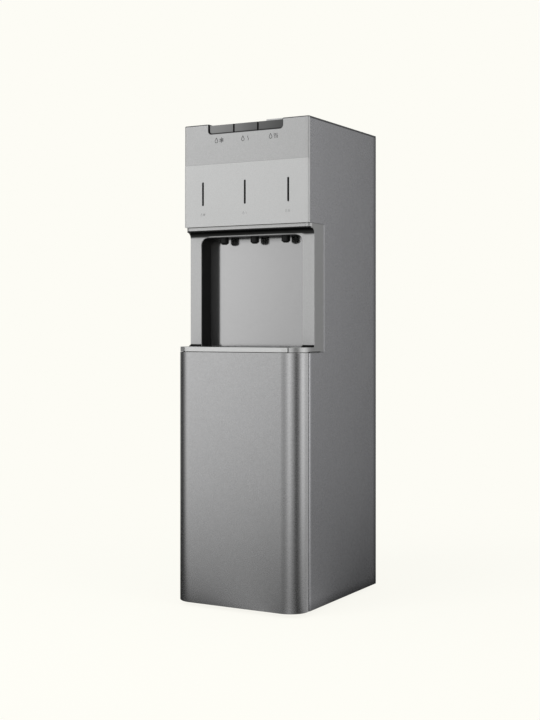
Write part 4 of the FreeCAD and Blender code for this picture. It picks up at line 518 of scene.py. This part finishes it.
def flat_mesh(name, outlines, y, thickness=0.00008):
    """Thin plates from outlines of (x, z), on the plane y and facing the front."""
    mesh = bpy.data.meshes.new(name)
    shape = bmesh.new()
    for outline in outlines:
        back = [shape.verts.new((x, y, z)) for x, z in outline]
        front = [shape.verts.new((x, y - thickness, z)) for x, z in outline]
        shape.faces.new(front)
        shape.faces.new(list(reversed(back)))
        count = len(outline)
        for i in range(count):
            j = (i + 1) % count
            shape.faces.new((front[i], back[i], back[j], front[j]))
    bmesh.ops.recalc_face_normals(shape, faces=shape.faces)
    shape.to_mesh(mesh)
    shape.free()
    made = bpy.data.objects.new(name, mesh)
    bpy.context.scene.collection.objects.link(made)
    return made


def stroke(points, width):
    """The outline of a line of that width through points."""
    left, right = [], []
    for i, point in enumerate(points):
        before = Vector(points[max(i - 1, 0)])
        after = Vector(points[min(i + 1, len(points) - 1)])
        along = (after - before).normalized()
        across = Vector((-along.y, along.x)) * width / 2
        left.append(tuple(Vector(point) + across))
        right.append(tuple(Vector(point) - across))
    return left + right[::-1]


def snowflake(x, z, size):
    lines = []
    for turn in range(3):
        angle = math.radians(60 * turn + 30)
        tip = Vector((math.cos(angle), math.sin(angle))) * size
        lines.append(stroke([(x - tip.x, z - tip.y), (x + tip.x, z + tip.y)], size * 0.2))
    for turn in range(6):
        angle = math.radians(60 * turn + 30)
        root = Vector((math.cos(angle), math.sin(angle))) * size * 0.58
        for side in (-1, 1):
            end = root + Vector((math.cos(angle + side * 0.9), math.sin(angle + side * 0.9))) * size * 0.34
            lines.append(stroke([(x + root.x, z + root.y), (x + end.x, z + end.y)], size * 0.16))
    return lines


def drop(x, z, size):
    points = []
    for i in range(25):
        angle = math.radians(-215 + 250 * i / 24)
        points.append((x + math.cos(angle) * size * 0.6, z - size * 0.35 + math.sin(angle) * size * 0.6))
    points = [(x, z + size)] + points[::-1] + [(x, z + size)]
    return [stroke(points[i:i + 2], size * 0.2) for i in range(len(points) - 1)]


def waves(x, z, size, shifts):
    lines = []
    for shift in shifts:
        points = []
        for i in range(17):
            t = i / 16
            points.append((x + (shift + 0.16 * math.sin(t * 2 * math.pi)) * size, z + (t * 2 - 1) * size * 0.9))
        lines.append(stroke(points, size * 0.2))
    return lines


def sign(name, x, z, size, front, ink):
    """A drop of water and beside it a sign for cold, warm or hot."""
    apart = size * 1.15
    lines = drop(x - apart, z, size)
    if name.endswith("cold"):
        lines += snowflake(x + apart, z, size)
    else:
        lines += waves(x + apart, z, size, (-0.6, 0.0, 0.6) if name.endswith("hot") else (0.0,))
    made = flat_mesh(name, lines, front)
    made.data.materials.append(ink)
    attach(made, "cabinet")


sign_ink = moulded("dark_sign_ink", (0.02, 0.02, 0.021), 0.5, 0.05)
faint_ink = moulded("faint_sign_ink", (0.30, 0.30, 0.302), 0.5, 0.05)
for name, x, slit_x in (("cold", -0.0655, -0.1065), ("warm", 0.0012, 0.0), ("hot", 0.0695, 0.1045)):
    sign("sign_" + name, x, 1.0084, 0.0056, FASCIA_FRONT, sign_ink)
    sign("slit_mark_" + name, slit_x, 0.8482, 0.0030, PLATE_FRONT, faint_ink)


# Studio

def seen_share(maker):
    """1 for what the camera, a reflection or a clear material sees, else 0."""
    camera = maker.node("ShaderNodeLightPath", output=0)
    mirror = maker.node("ShaderNodeLightPath", output=3)
    through = maker.node("ShaderNodeLightPath", output=6)
    return maker.limit("MINIMUM", camera + mirror + through, 1.0)


def build_world():
    world = bpy.data.worlds.new("studio")
    bpy.context.scene.world = world
    world.use_nodes = True
    maker = Maker(world.node_tree)
    fill = maker.node("ShaderNodeBackground", None, {"Color": (0.97, 0.985, 1.0, 1), "Strength": 0.42})
    pale = maker.node("ShaderNodeBackground", None, {"Color": (*CREAM, 1), "Strength": 1.0})
    both = maker.node("ShaderNodeMixShader", None, {0: seen_share(maker), 1: fill, 2: pale})
    maker.node("ShaderNodeOutputWorld", None, {"Surface": both})


def distance_from_middle(maker):
    flat = maker.place() * (1, 1, 0)
    return maker.node("ShaderNodeVectorMath", {"operation": "LENGTH"}, {0: flat}, 1)


def build_floor():
    material = bpy.data.materials.new("paper_floor")
    material.use_nodes = True
    maker = Maker(material.node_tree)
    near = maker.fade(distance_from_middle(maker), 0.35, 1.5)
    paper = maker.node("ShaderNodeBsdfDiffuse", None, {"Color": (0.80, 0.81, 0.75, 1)})
    level = maker.mix(near, CREAM, tuple(part * 1.08 for part in CREAM))
    glow = maker.node("ShaderNodeEmission", None, {"Color": level, "Strength": 1.0})
    share = seen_share(maker) * (1 - 0.15 * near)
    both = maker.node("ShaderNodeMixShader", None, {0: share, 1: paper, 2: glow})
    maker.node("ShaderNodeOutputMaterial", None, {"Surface": both})

    bpy.ops.mesh.primitive_circle_add(vertices=96, radius=30.0, fill_type="NGON")
    floor = bpy.context.object
    floor.name = "floor"
    floor.data.materials.append(material)


def only_in_reflections(piece):
    piece.visible_camera = False
    piece.visible_diffuse = False
    piece.visible_transmission = False
    piece.visible_shadow = False
    piece.visible_volume_scatter = False


# How bright the booth is at each azimuth about its middle
AROUND = [
    (-180, 0.12), (-168, 0.32), (-150, 0.60), (-130, 0.60), (-116, 0.34), (-105, 0.05), (-95, 0.02),
    (-85, 0.05), (-75, 0.16), (-65, 0.52), (-55, 1.00), (-45, 1.22), (-38, 1.20), (-28.5, 0.90),
    (-20, 0.67), (-8, 0.51), (4, 0.72), (22, 1.36), (44, 0.60), (61, 0.04), (77.5, 0.28), (94, 1.12),
    (106, 1.48), (119, 1.10), (134, 0.80), (145, 0.66), (152, 0.52), (158, 0.26), (166, 0.15), (180, 0.12),
]
# and at each distance out over its mat and then up its wall, in front and behind
OUTWARD = [(0.0, 0.28), (0.3, 0.29), (0.6, 0.335), (1.3, 0.495), (2.4, 0.79), (2.9, 0.98), (3.7, 1.10), (6.9, 1.14)]
BEHIND = [(0.0, 0.47), (0.3, 0.49), (0.6, 0.52), (1.3, 0.60), (2.4, 0.74), (2.9, 0.95), (3.7, 1.10), (6.9, 1.14)]


def build_booth():
    """A ring of pale and dark cards on a mat, which only reflections see."""
    material = bpy.data.materials.new("booth_cards")
    material.use_nodes = True
    maker = Maker(material.node_tree)
    place = maker.place()
    angle = maker.node("ShaderNodeMath", {"operation": "ARCTAN2"},
                       {0: maker.axis(place, 0), 1: 0 - maker.axis(place, 1)})
    reach = distance_from_middle(maker) + maker.axis(place, 2)
    turn = angle / math.tau + 0.5
    around = maker.ramp(turn, [((azimuth + 180) / 360, level / BOOTH_PEAK) for azimuth, level in AROUND], "EASE")
    far = BOOTH_RADIUS + BOOTH_HEIGHT
    before, behind = [maker.ramp(reach / far, [(distance / far, level / BOOTH_PEAK) for distance, level in levels])
                      for levels in (OUTWARD, BEHIND)]
    rear = maker.spread(turn, 0.80, 0.88) + maker.fade(turn, 0.14, 0.21)
    outward = maker.mix(rear, before, behind)
    glow = maker.node("ShaderNodeEmission", None, {"Color": around * outward, "Strength": BOOTH_PEAK ** 2})
    maker.node("ShaderNodeOutputMaterial", None, {"Surface": glow})
    material.cycles.emission_sampling = "NONE"

    mesh = bpy.data.meshes.new("booth")
    shape = bmesh.new()
    rings = []
    for z in (0.0, BOOTH_HEIGHT):
        rings.append([shape.verts.new((math.sin(math.tau * i / 128) * BOOTH_RADIUS,
                                       math.cos(math.tau * i / 128) * BOOTH_RADIUS, z)) for i in range(128)])
    shape.faces.new(rings[0])
    for i in range(128):
        j = (i + 1) % 128
        shape.faces.new((rings[0][i], rings[0][j], rings[1][j], rings[1][i]))
    shape.to_mesh(mesh)
    shape.free()
    booth = bpy.data.objects.new("booth", mesh)
    bpy.context.scene.collection.objects.link(booth)
    booth.location = (*BOOTH_MIDDLE, 0.0005)
    booth.data.materials.append(material)
    only_in_reflections(booth)


def soft_lamp(name, size, power, place, target):
    data = bpy.data.lights.new(name, "AREA")
    data.shape = "RECTANGLE"
    data.size, data.size_y = size
    data.energy = power
    lamp = bpy.data.objects.new(name, data)
    bpy.context.scene.collection.objects.link(lamp)
    lamp.location = place
    lamp.rotation_euler = (Vector(target) - Vector(place)).to_track_quat("-Z", "Y").to_euler()
    lamp.visible_glossy = False
    lamp.visible_camera = False


def build_camera():
    data = bpy.data.cameras.new("camera")
    data.lens = 62.91
    data.sensor_width = 36.0
    data.shift_y = -0.0461
    data.clip_start = 0.05
    data.clip_end = 100.0
    camera = bpy.data.objects.new("camera", data)
    bpy.context.scene.collection.objects.link(camera)
    camera.location = (1.3700, -2.4727, 0.6034)
    camera.rotation_euler = (math.radians(90), 0, math.radians(29.35))
    bpy.context.scene.camera = camera


build_world()
build_floor()
build_booth()
soft_lamp("key_lamp", (1.4, 1.4), 34.0, (-0.9, -2.2, 2.0), (0, -0.1, 0.8))
soft_lamp("side_lamp", (1.2, 1.6), 12.0, (2.4, -0.6, 1.7), (0, 0, 0.7))
build_camera()
bpy.context.scene.view_settings.view_transform = "Standard"

bpy.context.view_layer.update()
